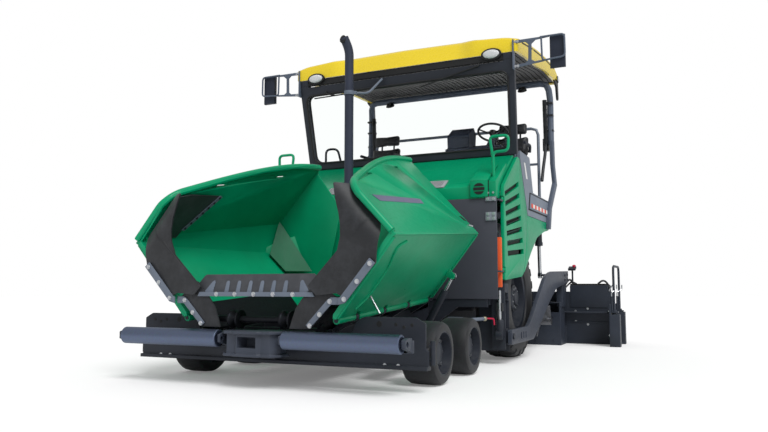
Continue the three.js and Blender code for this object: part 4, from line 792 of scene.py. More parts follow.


# ---- hood ----
# Pressed green sheet over the cooler, with a raised air box at each side, a perforated grey grille at the front and
# two bent tube handholds. Three slots in each air box are flat black shapes of painted shade.
machined("hood", green_coat, 0.004)
rising = Vector((0, 0.854, 0.52))
outward = Vector((0, -0.52, 0.854))
for side, k in (("left", 1), ("right", -1)):
    work = bmesh.new()
    slab(work, [at(k * 978, y, z) for y, z in ((-936, 1640), (-936, 1802), (-925, 1816), (-560, 2030), (-545, 1990), (-700, 1800), (-700, 1640))],
         (k * 0.18, 0, 0))
    slab(work, [at(k * 1166, y, z) for y, z in ((-926, 1640), (-926, 1795), (-520, 2035), (-500, 1990), (-700, 1800), (-700, 1640))],
         (k * 0.072, 0, 0))
    piece("air_box_" + side, "tractor", "paint_green", shaped(work, "air_box_" + side, 0.006), green_coat)
    # The slots and a thin gap line between the two parts of each air box are black: painted shade.
    work = bmesh.new()
    centre = at(k * 1070, -937, 1722)
    for z0, z1 in ((-56, -26), (-15, 15), (26, 56)):
        rows = []
        for i in range(9):
            z = z0 + (z1 - z0) * i / 8
            wide = math.sqrt(max(1.0, 58 ** 2 - z ** 2))
            rows.append((wide, z))
        slab(work, [centre + Vector((w / 1000, 0, z / 1000)) for w, z in rows]
             + [centre + Vector((-w / 1000, 0, z / 1000)) for w, z in reversed(rows)], (0, -0.002, 0))
    slab(work, [at(k * 1160, -928, z) for z in (1640, 1800)] + [at(k * 1165, -928, z) for z in (1800, 1640)], (0, 0.01, 0))
    piece("air_slots_" + side, "tractor", "paint_green", shaped(work, "air_slots_" + side), dark_steel_and_painted_shade)
    work = bmesh.new()
    tube(work, [at(k * x, y, z) for x, y, z in ((1190, -820, 1770), (1184, -820, 2100), (1340, -820, 2104),
                                               (1345, -820, 2260), (1151, -820, 2260), (1180, -812, 2050))], 0.0150, 0.05, 14)
    piece("handhold_" + side, "tractor", "paint_green", shaped(work, "handhold_" + side), green_coat)

grille_coat = powder_coat("pale grey grille coat", "#A9ABAE", "#9C9EA2", 0.42, 0.05)
work = bmesh.new()
base = at(-690, -905, 1757)
slab(work, [base, base + Vector((1.38, 0, 0)), base + Vector((1.38, 0, 0)) + rising * 0.17, base + rising * 0.17], outward * 0.012)
piece("front_grille", "tractor", "paint_light_grey", shaped(work, "front_grille", 0.003), grille_coat)
# The grille's holes are black discs on its face: painted shade.
work = bmesh.new()
lathe(work, [(0, 0), (0, 0.0052), (0.0016, 0.0040), (0.0016, 0)], base + Vector((0.025, 0, 0)) + rising * 0.022 + outward * 0.0118, outward, 8)
row = grown(shaped(work, "hole"), row_tree, {"Count": 74, "Step": (0.018, 0, 0), "Finish": dark_steel_and_painted_shade})
holes = grown(row, row_tree, {"Count": 8, "Step": rising * 0.018, "Finish": dark_steel_and_painted_shade})
piece("grille_holes", "tractor", "paint_light_grey", holes)


# ---- side doors and skirts ----
# Folded green doors over the cooler's air outlet: seven slanted slots are cut through and slanted black blades sit
# behind them. A bright orange marker hangs in front of each door.
for side, k in (("left", 1), ("right", -1)):
    body = "side_door_" + side
    machined(body, green_coat, 0.004)
    # A black sheet behind each door is painted shade seen through the slots.
    work = bmesh.new()
    slab(work, [at(k * 1246, y, z) for y, z in ((-775, 930), (-130, 1060), (-60, 1240), (60, 1500), (-120, 2020), (-250, 1960), (-775, 1640))],
         (-k * 0.006, 0, 0))
    piece(body + "_backing", body, "paint_dark_grey", shaped(work, body + "_backing"), dark_steel_and_painted_shade)
    work = bmesh.new()
    for s in range(7):
        t = (s + 0.5) / 7
        y0, z0, y1, z1 = -745 + 75 * t, 1655 - 590 * t, -190 + 165 * t, 1830 - 715 * t
        slab(work, [at(k * 1250, y0 + 10, z0 - 4), at(k * 1250, y1 - 10, z1 - 4), at(k * 1274, y1 - 14, z1 + 18), at(k * 1274, y0 + 14, z0 + 18)],
             (0, 0.001, 0.003))
    piece(body + "_louvres", body, "paint_dark_grey", shaped(work, body + "_louvres"), slate_coat)
    machined("side_skirt_" + side, green_coat, 0.004)

marker_paint = powder_coat("signal orange coat", "#F2683A", "#E65F33", 0.42, 0.03)
for side, k in (("left", 1), ("right", -1)):
    work = bmesh.new()
    slab(work, [at(k * x, y, 754) for x, y in ((1200, -846), (1262, -846), (1262, -818), (1200, -818))], (0, 0, 0.49))
    piece("marker_" + side, "tractor", "paint_green", shaped(work, "marker_" + side, 0.008), marker_paint)
    work = bmesh.new()
    tube(work, [at(k * 1228, -824, 1229), at(k * 1228, -824, 1290), at(k * 1228, -900, 1300)], 0.012, 0.02, 12)
    tube(work, [at(k * 1228, -822, 754), at(k * 1228, -822, 720)], 0.014, 0.02, 12)
    piece("marker_holder_" + side, "tractor", "paint_dark_grey", shaped(work, "marker_holder_" + side), slate_coat)
    work = bmesh.new()
    tube(work, [at(k * 1228, -822, 722), at(k * 1228, -822, 414)], 0.0165, 0.02, 16)
    piece("levelling_rod_" + side, "tractor", "chrome_rod", shaped(work, "levelling_rod_" + side), zinc)
    work = bmesh.new()
    lathe(work, [(0, 0), (0, 0.03), (0.01, 0.036), (0.13, 0.036), (0.14, 0.03), (0.14, 0)], at(k * 1228, -822, 300), (0, 0, 1), 20)
    lathe(work, [(-0.034, 0), (-0.034, 0.05), (0.034, 0.05), (0.034, 0)], at(k * 1228, -822, 290), (1, 0, 0), 24)
    piece("levelling_head_" + side, "tractor", "paint_dark_grey", shaped(work, "levelling_head_" + side, 0.003), slate_coat)


# ---- operator platform ----
# A light grey welded platform with side walls. A blank white plate sits on each slanted strip and a red and white
# reflecting tape runs along the locker below it.
platform_coat = powder_coat("platform grey powder coat", "#7B8492", "#717A88", 0.36, 0.10)
machined("operator_platform", platform_coat, 0)
white_film = powder_coat("white reflecting film", "#E9E9E6", "#DDDEDB", 0.30, 0.03)
red_film = powder_coat("red reflecting film", "#E2432A", "#D63C25", 0.30, 0.03)
for side, k in (("left", 1), ("right", -1)):
    work = bmesh.new()
    slab(work, [at(k * 1281, y, z) for y, z in ((52, 2130), (112, 2130), (206, 1960), (146, 1960))], (k * 0.002, 0, 0))
    piece("blank_plate_" + side, "tractor", "paint_light_grey", shaped(work, "blank_plate_" + side), white_film)
    for first, film, label in ((0, red_film, "red"), (1, white_film, "white")):
        work = bmesh.new()
        y = 330 + 84 * first
        slab(work, [at(k * 1290, y, 1655), at(k * 1290, y + 84, 1655), at(k * 1290, y + 84, 1700), at(k * 1290, y, 1700)], (k * 0.002, 0, 0))
        tape = grown(shaped(work, "tape"), row_tree, {"Count": 5, "Step": (0, 0.168, 0), "Finish": film})
        piece("tape_%s_%s" % (label, side), "tractor", "paint_light_grey", tape)
    # the locker's lid, proud of the side wall, with a black sheet behind it that shows round it as painted shade in the
    # gap
    work = bmesh.new()
    slab(work, [at(k * 1280, y, z) for y, z in ((230, 1620), (1310, 1620), (1240, 1822), (480, 1822), (300, 1822))], (k * 0.004, 0, 0))
    piece("locker_gap_" + side, "tractor", "paint_light_grey", shaped(work, "locker_gap_" + side), dark_steel_and_painted_shade)
    work = bmesh.new()
    slab(work, [at(k * 1283, y, z) for y, z in ((262, 1634), (1288, 1634), (1226, 1806), (486, 1806), (320, 1806))], (k * 0.007, 0, 0))
    piece("locker_lid_" + side, "tractor", "paint_light_grey", shaped(work, "locker_lid_" + side, 0.003), platform_coat)


# ---- seats ----
# Two suspension seats with foam cushions in black vinyl, each a base, a back and a head pad with piped edges. The
# vinyl is calendered with a fine leather grain and has a soft satin shine.
vinyl = bpy.data.materials.new("black calendered vinyl")
tree = new_tree(vinyl)
place = node(tree, "ShaderNodeTexCoord").outputs["Object"]
wear = node(tree, "ShaderNodeTexNoise", None, {"Vector": place, "Scale": 9.0, "Detail": 4.0})
tone = node(tree, "ShaderNodeMix", {"data_type": "RGBA"}, {0: wear.outputs[0], 6: tint("#14151A"), 7: tint("#24262C")})
# The grain cells are about 1.5 mm, drawn at 4 mm so that they show.
grain = node(tree, "ShaderNodeTexVoronoi", {"feature": "DISTANCE_TO_EDGE"}, {"Vector": place, "Scale": 250.0})
bump = node(tree, "ShaderNodeBump", None, {"Height": grain.outputs[0], "Strength": 0.25, "Distance": 0.001})
shell = node(tree, "ShaderNodeBsdfPrincipled", None, {
    "Base Color": tone.outputs[2], "Roughness": 0.46, "Normal": bump.outputs[0], "Sheen Weight": 0.1})
node(tree, "ShaderNodeOutputMaterial", None, {"Surface": shell.outputs[0]})


def stuffed(name, wide, deep, thick):
    """A foam pad round the origin: a rounded box whose cover is blown up by cloth simulation."""
    work = bmesh.new()
    bmesh.ops.create_cube(work, size=1.0)
    bmesh.ops.scale(work, vec=(wide, deep, thick), verts=work.verts)
    bmesh.ops.bevel(work, geom=work.edges[:], offset=0.03, segments=4, profile=0.5, affect="EDGES")
    mesh = bpy.data.meshes.new(name)
    work.to_mesh(mesh)
    work.free()
    pad = bpy.data.objects.new(name, mesh)
    scene.collection.objects.link(pad)
    remesh = pad.modifiers.new("even", "REMESH")
    remesh.mode, remesh.voxel_size = "VOXEL", 0.009
    bpy.context.view_layer.update()
    even = bpy.data.meshes.new_from_object(pad.evaluated_get(bpy.context.evaluated_depsgraph_get()))
    pad.modifiers.remove(remesh)
    pad.data = even
    rest = [v.co.copy() for v in even.vertices]
    cloth = pad.modifiers.new("cover", "CLOTH")
    cloth.settings.use_pressure = True
    cloth.settings.uniform_pressure_force = 4
    cloth.settings.effector_weights.gravity = 0
    cloth.point_cache.frame_start, cloth.point_cache.frame_end = 1, 14
    for number in range(1, 15):
        scene.frame_set(number)
    blown = bpy.data.meshes.new_from_object(pad.evaluated_get(bpy.context.evaluated_depsgraph_get()))
    pad.modifiers.remove(cloth)
    scene.frame_set(1)
    for v, old in zip(blown.vertices, rest):
        move = v.co - old
        v.co = old + move * min(1.0, 0.016 / max(move.length, 1e-9))
    pad.data = blown
    made = pad.data
    bpy.data.objects.remove(pad)
    made.polygons.foreach_set("use_smooth", [True] * len(made.polygons))
    return made


pads = (("base", stuffed("base", 0.44, 0.44, 0.085), (0, -20, 2345), 4), ("back", stuffed("back", 0.42, 0.25, 0.075), (0, 245, 2520), 80),
        ("head", stuffed("head", 0.36, 0.14, 0.070), (0, 290, 2755), 82))
for side, k in (("left", 1), ("right", -1)):
    for label, shape, (x, y, z), angle in pads:
        mesh = shape.copy()
        mesh.transform(Matrix.Translation(at(k * 880 + x, 860 + y, z)) @ Matrix.Rotation(math.radians(angle), 4, "X"))
        pad = piece("seat_%s_%s" % (label, side), "tractor", "seat_black", mesh, vinyl)
        if label == "base":
            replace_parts(pad, "seat_" + side)
    work = bmesh.new()
    slab(work, [at(k * 880 + x, y, 2182) for x, y in ((-170, 690), (170, 690), (170, 1040), (-170, 1040))], (0, 0, 0.022))
    for i in range(5):
        w = 150 + (8 if i % 2 else 0)
        slab(work, [at(k * 880 + x, y, 2204 + 17 * i) for x, y in ((-w, 710 - w + 150), (w, 710 - w + 150), (w, 1020 + w - 150), (-w, 1020 + w - 150))], (0, 0, 0.017))
    slab(work, [at(k * 880 + x, y, 2287) for x, y in ((-200, 650), (200, 650), (200, 1080), (-200, 1080))], (0, 0, 0.016))
    tube(work, [at(k * 880 - 90, 1080, 2295), at(k * 880 - 90, 1140, 2400), at(k * 880 - 90, 1180, 2770)], 0.012, 0.05, 10)
    tube(work, [at(k * 880 + 90, 1080, 2295), at(k * 880 + 90, 1140, 2400), at(k * 880 + 90, 1180, 2770)], 0.012, 0.05, 10)
    for x in (-240, 240):
        tube(work, [at(k * 880 + x * 0.9, 1120, 2440), at(k * 880 + x * 0.96, 1090, 2520), at(k * 880 + x * 0.96, 800, 2510)], 0.019, 0.05, 12)
    piece("seat_mount_" + side, "tractor", "seat_black", shaped(work, "seat_mount_" + side, 0.003), slate_coat)


# ---- console and steering wheel ----
# A moulded dark blue-grey desk with a hooded display, two joysticks and rows of keys, and a rubber-rimmed wheel.
desk_plastic = powder_coat("blue-grey moulded ABS", "#2A303E", "#232835", 0.42, 0.08)
machined("operator_console", desk_plastic, 0.012)
work = bmesh.new()
for x0, x1, y0, y1, z in ((720, 1040, -20, 60, 2334),):
    slab(work, [at(x0, y0, z), at(x1, y0, z), at(x1, y1, z), at(x0, y1, z)], (0, 0, 0.012))
for x in (470, 560):
    tube(work, [at(x, 90, 2335), at(x, 100, 2420), at(x + 8, 112, 2450)], 0.012, 0.02, 10)
piece("console_fittings", "tractor", "paint_dark_grey", shaped(work, "console_fittings", 0.004), dark_steel_and_painted_shade)
work = bmesh.new()
slab(work, [at(730, 80, 2333), at(750, 80, 2333), at(750, 98, 2333), at(730, 98, 2333)], (0, 0, 0.009))
key = grown(shaped(work, "key", 0.002), row_tree, {"Count": 9, "Step": (0.034, 0, 0), "Finish": strip_coat})
keys = grown(key, row_tree, {"Count": 3, "Step": (0, 0.034, 0), "Finish": strip_coat})
piece("console_keys", "tractor", "paint_light_grey", keys)

wheel_axis = Vector((0, 0.42, 0.9)).normalized()
wheel_side = Vector((1, 0, 0))
wheel_up = wheel_axis.cross(wheel_side)
hub = at(880, 250, 2540)
work = bmesh.new()
rings = []
for i in range(48):
    a = 2 * math.pi * i / 48
    out = wheel_side * math.cos(a) + wheel_up * math.sin(a)
    rings.append([work.verts.new(hub + out * (0.172 + 0.013 * math.cos(b)) + wheel_axis * 0.013 * math.sin(b))
                  for b in (2 * math.pi * j / 12 for j in range(12))])
for i in range(48):
    for j in range(12):
        work.faces.new((rings[i][j], rings[(i + 1) % 48][j], rings[(i + 1) % 48][(j + 1) % 12], rings[i][(j + 1) % 12]))
for a in (math.radians(d) for d in (90, 210, 330)):
    out = wheel_side * math.cos(a) + wheel_up * math.sin(a)
    tube(work, [hub - wheel_axis * 0.02, hub + out * 0.06 - wheel_axis * 0.02, hub + out * 0.168], 0.009, 0.03, 10)
lathe(work, [(-0.05, 0), (-0.05, 0.026), (-0.015, 0.045), (0.012, 0.045), (0.02, 0.03), (0.02, 0)], hub, wheel_axis, 24)
tube(work, [hub + wheel_up * 0.172, hub + wheel_up * 0.172 + wheel_axis * 0.05], 0.016, 0.01, 12)
lathe(work, [(-0.235, 0), (-0.235, 0.020), (-0.05, 0.020), (-0.05, 0)], hub, wheel_axis, 20)
wheel = piece("wheel_rim", "steering_wheel", "seat_black", shaped(work, "wheel_rim"), rubber("wheel rim rubber", "#121316", "#1B1D21", 0.42))
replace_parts(wheel, "steering_wheel")
work = bmesh.new()
for k in (1, -1):
    tube(work, [at(k * 1130, -120, 2160), at(k * 1130, -120, 2440), at(k * 1000, -60, 2450), at(k * 960, 20, 2160)], 0.014, 0.06, 12)
piece("grab_loops", "tractor", "paint_dark_grey", shaped(work, "grab_loops"), slate_coat)


# ---- windscreen ----
# A welded frame of slate grey box section holds one big pane in a black rubber seal. Two parallel wipers hang
# from the top beam.
machined("windscreen_frame", slate_coat, 0.006)
pane_glass = bpy.data.materials.new("tinted safety glass")
tree = new_tree(pane_glass)
film = node(tree, "ShaderNodeTexNoise", None,
            {"Vector": node(tree, "ShaderNodeTexCoord").outputs["Object"], "Scale": 3.0, "Detail": 5.0})
haze = node(tree, "ShaderNodeMapRange", None,
            {"Value": film.outputs[0], "From Min": 0.5, "From Max": 0.8, "To Min": 0.0, "To Max": 0.05})
clear = node(tree, "ShaderNodeBsdfPrincipled", None, {
    "Base Color": tint("#FCFFFE"), "Roughness": haze.outputs[0], "Transmission Weight": 1.0, "IOR": 1.05})
node(tree, "ShaderNodeOutputMaterial", None, {"Surface": clear.outputs[0]})
machined("windscreen_glass", pane_glass, 0)
lean = math.radians(11.5)


def on_pane(x, h, out):
    """A point on the leaning windscreen: across, up along it and out in front of it."""
    return at(x, -200 - h * math.sin(lean) - out * math.cos(lean), 2165.3 + h * math.cos(lean) - out * math.sin(lean))


work = bmesh.new()
for out in (37, -37):
    tube(work, [on_pane(x, h, out) for x, h in ((0, 93), (-1212, 93), (-1242, 907), (1242, 907), (1212, 93), (0, 93))], 0.011, 0.1, 10)
for a, b, c in (((-1120, 868), (-560, 880), (-960, 912)), ((250, 850), (900, 985), (930, 990))):
    tube(work, [on_pane(*a, 52), on_pane(*b, 52)], 0.008, 0.01, 8)
    tube(work, [on_pane((a[0] + b[0]) / 2, (a[1] + b[1]) / 2, 58), on_pane(*c, 60), on_pane(c[0], c[1] + 25, 40)], 0.009, 0.02, 8)
slab(work, [at(x, -215, 2095) for x in (-1190, 1190)] + [at(x, -195, 2095) for x in (1190, -1190)], (0, 0, 0.085))
piece("seal_and_wipers", "tractor", "flap_rubber", shaped(work, "seal_and_wipers"), rubber("black seal rubber", "#0E0F11", "#17181B", 0.55))


# ---- roof ----
# One glossy moulded shell of yellow glass-fibre plastic with a raised middle, an oval headlight in each front corner
# and a black slatted lining of pressed board underneath.
roof_plastic = bpy.data.materials.new("yellow gelcoat on glass fibre")
tree = new_tree(roof_plastic)
place = node(tree, "ShaderNodeTexCoord").outputs["Object"]
cloud = node(tree, "ShaderNodeTexNoise", None, {"Vector": place, "Scale": 1.6, "Detail": 3.0})
tone = node(tree, "ShaderNodeMix", {"data_type": "RGBA"}, {0: cloud.outputs[0], 6: tint("#F0D41A"), 7: tint("#E8CB16")})
dust = node(tree, "ShaderNodeTexNoise", None, {"Vector": place, "Scale": 18.0, "Detail": 7.0, "Roughness": 0.7})
veil = node(tree, "ShaderNodeMapRange", None,
            {"Value": dust.outputs[0], "From Min": 0.6, "From Max": 0.9, "To Min": 0.0, "To Max": 0.06})
seen = node(tree, "ShaderNodeMix", {"data_type": "RGBA"}, {0: veil.outputs[0], 6: tone.outputs[2], 7: tint("#B5A888")})
matt = node(tree, "ShaderNodeMapRange", None,
            {"Value": dust.outputs[0], "From Min": 0.3, "From Max": 0.7, "To Min": 0.25, "To Max": 0.30})
ripple = node(tree, "ShaderNodeTexNoise", None, {"Vector": place, "Scale": 40.0, "Detail": 2.0})
bump = node(tree, "ShaderNodeBump", None, {"Height": ripple.outputs[0], "Strength": 0.02, "Distance": 0.001})
shell = node(tree, "ShaderNodeBsdfPrincipled", None, {
    "Base Color": seen.outputs[2], "Roughness": matt.outputs[0], "Normal": bump.outputs[0], "Coat Weight": 0.4,
    "Coat Roughness": 0.12})
node(tree, "ShaderNodeOutputMaterial", None, {"Surface": shell.outputs[0]})

stations = [(-450, 3236, 3368, 3440), (-380, 3240, 3385, 3470), (0, 3290, 3460, 3560), (500, 3340, 3530, 3640),
            (1000, 3420, 3580, 3680), (1450, 3440, 3600, 3670), (1700, 3440, 3530, 3570)]


def roof_line(y, which):
    return between([(s[0], s[which]) for s in stations], y)


def roof_height(u, y):
    rise = between([(0.0, 1.0), (0.42, 1.0), (0.50, 0.97), (0.56, 0.86), (0.63, 0.64), (0.70, 0.50), (0.80, 0.42), (0.90, 0.33),
                    (0.96, 0.20), (0.985, 0.10), (1.0, 0.0)], abs(u))
    flat = between([(-450, 0.0), (-380, 0.35), (-250, 0.8), (0, 1.0), (1450, 1.0), (1700, 0.5)], y)
    low, side, middle = (roof_line(y, i) for i in (1, 2, 3))
    plain = between([(0.0, 1.0), (0.6, 0.8), (0.9, 0.45), (1.0, 0.0)], abs(u))
    return side + (middle - side) * (rise * flat + plain * (1 - flat))


work = bmesh.new()
lengths = [-450, -440, -415, -380, -330, -270, -200, -100, 0, 120, 250, 380, 500, 640, 780, 900, 1000, 1120, 1240, 1350, 1450, 1530, 1600, 1660, 1690, 1700]
shares = [-1, -0.992, -0.975, -0.95, -0.92, -0.88, -0.84, -0.8, -0.76, -0.73, -0.7, -0.67, -0.64, -0.61, -0.58, -0.55, -0.52, -0.49, -0.45, -0.38, -0.25, -0.12]
shares = shares + [0] + [-u for u in reversed(shares)]
rows = []
for y in lengths:
    inset = between([(-450, 26), (-440, 12), (-415, 3), (-380, 0), (1660, 0), (1690, 14), (1700, 30)], y)
    drop = between([(-450, 22), (-440, 9), (-415, 2), (-380, 0), (1660, 0), (1690, 10), (1700, 26)], y)
    half = 1360 - inset
    low = roof_line(y, 1)
    row = [(-half + 45, low + 6), (-half + 8, low), (-half, low + 10)]
    row += [(u * half, roof_height(u, y) - drop) for u in shares]
    row += [(half, low + 10), (half - 8, low), (half - 45, low + 6)]
    # the raised band leans back from the lower lip, between two flares
    back = between([(-450, 78), (-270, 40), (0, 0), (1700, 0)], y)
    rows.append([work.verts.new(at(x, y + back * between([(0, 1), (0.50, 1), (0.54, 0.8), (0.60, 0.3), (0.64, 0), (1.1, 0)], abs(x) / 1360), z))
                 for x, z in row])
for a, b in zip(rows, rows[1:]):
    for i in range(len(a) - 1):
        work.faces.new((a[i], a[i + 1], b[i + 1], b[i]))
for row, y, step in ((rows[0], -450, 1), (rows[-1], 1700, -1)):
    low = roof_line(y, 1)
    under = [work.verts.new(at(v.co.x * 1000, y, low)) for v in row[2:-2]]
    for i in range(len(under) - 1):
        work.faces.new((row[i + 2], row[i + 3], under[i + 1], under[i]))
    inner = [work.verts.new(v.co + Vector((0, step * 0.04, 0.008))) for v in under]
    for i in range(len(under) - 1):
        work.faces.new((under[i], under[i + 1], inner[i + 1], inner[i]))
bmesh.ops.remove_doubles(work, verts=work.verts, dist=1e-5)
bmesh.ops.recalc_face_normals(work, faces=work.faces)
up_facing = max(work.faces, key=lambda f: f.calc_center_median().z)
if up_facing.normal.z < 0:
    bmesh.ops.reverse_faces(work, faces=work.faces)
bmesh.ops.solidify(work, geom=work.faces[:], thickness=0.008)
roof = piece("roof_shell", "tractor", "roof_yellow", shaped(work, "roof_shell", 0, 50), roof_plastic)
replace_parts(roof, "roof")

lining = rubber("black pressed lining board", "#0F1012", "#151619", 0.6)
work = bmesh.new()
spine = [y for y in lengths if -440 < y < 1690]
rows = []
for y in spine:
    low = roof_line(y, 1) + 24
    rows.append([work.verts.new(at(x, y, z)) for x, z in ((-1345, low), (1345, low), (1345, low + 14), (-1345, low + 14))])
for a, b in zip(rows, rows[1:]):
    for i in range(4):
        work.faces.new((a[i], a[(i + 1) % 4], b[(i + 1) % 4], b[i]))
work.faces.new(rows[0])
work.faces.new(rows[-1])
slab(work, [at(x, -440, 3165) for x in (-1285, 1285)] + [at(x, -400, 3165) for x in (1285, -1285)], (0, 0, 0.068))
piece("roof_lining", "tractor", "flap_rubber", shaped(work, "roof_lining"), lining)
work = bmesh.new()
rows = []
for y in [y for y in spine if -300 < y < 1650]:
    low = roof_line(y, 1) + 10
    rows.append([work.verts.new(at(x - 1290, y, z)) for x, z in ((-22, low + 4), (22, low + 4), (24, low + 16), (-24, low + 16))])
for a, b in zip(rows, rows[1:]):
    for i in range(4):
        work.faces.new((a[i], a[(i + 1) % 4], b[(i + 1) % 4], b[i]))
work.faces.new(rows[0])
work.faces.new(rows[-1])
slats = grown(shaped(work, "slat"), row_tree, {"Count": 44, "Step": (0.06, 0, 0), "Finish": lining})
piece("roof_slats", "tractor", "flap_rubber", slats)

work = bmesh.new()
for k in (1, -1):
    for y0, y1 in ((-250, 240), (300, 820), (880, 1420)):
        corners = [(y0, roof_line(y0, 2) - 34), (y1, roof_line(y1, 2) - 34), (y1, roof_line(y1, 2) - 20), (y0, roof_line(y0, 2) - 20)]
        slab(work, [at(k * 1361, y, z) for y, z in corners], (k * 0.0015, 0, 0))
    slab(work, [at(k * 1334, y, z) for y, z in ((1490, 3470), (1690, 3470), (1712, 3250), (1690, 3215), (1655, 3225), (1610, 3380), (1490, 3425))],
         (k * 0.026, 0, 0))
    lathe(work, [(0, 0), (0, 0.045), (0.012, 0.045), (0.014, 0.038), (0.014, 0)], at(k * 1360, 1640, 3485), (k, 0, 0), 24)
    oval = [(0.112 * math.cos(a), 0.064 * math.sin(a)) for a in (2 * math.pi * i / 40 for i in range(40))]
    slab(work, [at(k * 1078, -446, 3232) + Vector((x, -0.004, z)) for x, z in oval], (0, -0.022, 0))
    for x in (0.95,):
        lathe(work, [(-0.04, 0), (-0.04, 0.04), (0, 0.06), (0.012, 0.06), (0.012, 0)], at(k * x * 1000, 1395, 3325), (0, 0.5, -0.85), 24)
piece("roof_trim", "tractor", "flap_rubber", shaped(work, "roof_trim", 0.003), rubber("black trim rubber", "#101114", "#191B1E", 0.5))

lens = bpy.data.materials.new("ribbed polycarbonate lamp lens")
tree = new_tree(lens)
place = node(tree, "ShaderNodeTexCoord").outputs["Object"]
flutes = node(tree, "ShaderNodeTexWave", {"bands_direction": "X"}, {"Vector": place, "Scale": 30.0, "Distortion": 0.4})
bump = node(tree, "ShaderNodeBump", None, {"Height": flutes.outputs[0], "Strength": 0.5, "Distance": 0.003})
# The flutes mix white and grey bands into the lens colour: painted highlight and shade of the ribs.
tone = node(tree, "ShaderNodeMix", {"data_type": "RGBA"}, {0: flutes.outputs[0], 6: tint("#F2F3F4"), 7: tint("#AEB3B8")})
shell = node(tree, "ShaderNodeBsdfPrincipled", None, {
    "Base Color": tone.outputs[2], "Roughness": 0.12, "Normal": bump.outputs[0], "Coat Weight": 1.0, "Coat Roughness": 0.03})
node(tree, "ShaderNodeOutputMaterial", None, {"Surface": shell.outputs[0]})
work = bmesh.new()
for k in (1, -1):
    previous = None
    for grow, out in ((1.0, -0.026), (0.96, -0.036), (0.8, -0.044), (0.5, -0.049)):
        ring = [work.verts.new(at(k * 1078, -446, 3232) + Vector((x * 0.80 * grow, out, z * 0.74 * grow))) for x, z in oval]
        if previous:
            for i in range(40):
                work.faces.new((previous[i], previous[(i + 1) % 40], ring[(i + 1) % 40], ring[i]))
        else:
            work.faces.new(ring)
        previous = ring
    work.faces.new(previous)
    lathe(work, [(0.013, 0), (0.013, 0.034), (0.022, 0.026), (0.025, 0.012), (0.025, 0)], at(k * 1360, 1640, 3485), (k, 0, 0), 24)
    for x in (0.95,):
        lathe(work, [(0.011, 0), (0.011, 0.052), (0.018, 0.045), (0.02, 0)], at(k * x * 1000, 1395, 3325), (0, 0.5, -0.85), 24)
piece("lamp_lenses", "tractor", "windscreen", shaped(work, "lamp_lenses"), lens)


# ---- mirrors, rear roof frame and exhaust ----
# Each mirror hangs from two flat arms and a bent tube guard. The rear frame and the slash-cut exhaust are steel tube.
steel_blue = powder_coat("blue-grey arm coat", "#5C6575", "#525B6A", 0.38, 0.08)
mirror_glass = plain_metal("silvered mirror glass", "#E8ECEF", 0.04, 4.0)
for side, k in (("left", 1), ("right", -1)):
    work = bmesh.new()
    slab(work, [at(k * x, -446, z) for x, z in ((1318, 3352), (1318, 3318), (1500, 3322), (1690, 3338), (1690, 3352))], (0, 0.012, 0))
    slab(work, [at(k * x, -446, z) for x, z in ((1318, 3052), (1318, 3086), (1430, 3092), (1640, 3104), (1640, 3086))], (0, 0.012, 0))
    slab(work, [at(k * x, -446, z) for x, z in ((1440, 3090), (1470, 3120), (1474, 3290), (1440, 3322), (1552, 3328), (1508, 3290), (1506, 3120), (1540, 3098))],
         (0, 0.012, 0))
    tube(work, [at(k * x, -452, z) for x, z in ((1600, 3346), (1850, 3346), (1852, 3110), (1618, 3092), (1612, 3346))], 0.010, 0.04, 12)
    slab(work, [at(k * 1308, -470, z) for z in (3040, 3360)] + [at(k * 1322, -470, z) for z in (3360, 3040)], (0, 0.06, 0))
    arm = piece("mirror_arm_" + side, "tractor", "paint_dark_grey", shaped(work, "mirror_arm_" + side, 0.003), steel_blue)
    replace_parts(arm, "mirror_" + side)
    work = bmesh.new()
    slab(work, [at(k * x, -430, z) for x, z in ((1690, 3012), (1848, 3012), (1848, 3358), (1690, 3358))], (0, 0.062, 0))
    piece("mirror_head_" + side, "tractor", "paint_dark_grey", shaped(work, "mirror_head_" + side, 0.022), desk_plastic)
    work = bmesh.new()
    slab(work, [at(k * x, -367, z) for x, z in ((1712, 3034), (1826, 3034), (1826, 3336), (1712, 3336))], (0, 0.004, 0))
    piece("mirror_pane_" + side, "tractor", "chrome_rod", shaped(work, "mirror_pane_" + side), mirror_glass)
    bolts("mirror_bolts_" + side, "tractor", "paint_dark_grey",
          [(at(k * 1332, -447, z), front) for z in (3335, 3069)] + [(at(k * 1362, -447, z), front) for z in (3335, 3070)], 0.011, zinc)
machined("roof_rear_frame", steel_blue, 0.004)
work = bmesh.new()
for k in (1, -1):
    low_end, top_end = at(k * 1228, 1470, 2600), at(k * 1228, 1440, 3180)
    ribs = [(0, 0.0)]
    for i in range(36):
        ribs += [(0.016 * i, 0.024), (0.016 * i + 0.005, 0.030), (0.016 * i + 0.010, 0.030), (0.016 * i + 0.0155, 0.024)]
    ribs.append((0.016 * 36, 0.0))
    lathe(work, ribs, low_end, top_end - low_end, 20)
    tube(work, [low_end, at(k * 1222, 1440, 2470), at(k * 1215, 1330, 2250), at(k * 1215, 1250, 2090)], 0.020, 0.08, 12)
    slab(work, [at(k * x, 1500, z) for x, z in ((1180, 2520), (1255, 2520), (1255, 2680), (1180, 2680))], (0, 0.07, 0))
    for z in (2760, 2960, 3120):
        slab(work, [at(k * x, 1430 + (3210 - z) * 0.05, z) for x in (1215, 1330)] + [at(k * x, 1496 + (3210 - z) * 0.05, z) for x in (1330, 1215)],
             (0, 0, 0.022))
piece("rear_hoses", "tractor", "flap_rubber", shaped(work, "rear_hoses"), flap_rubber)

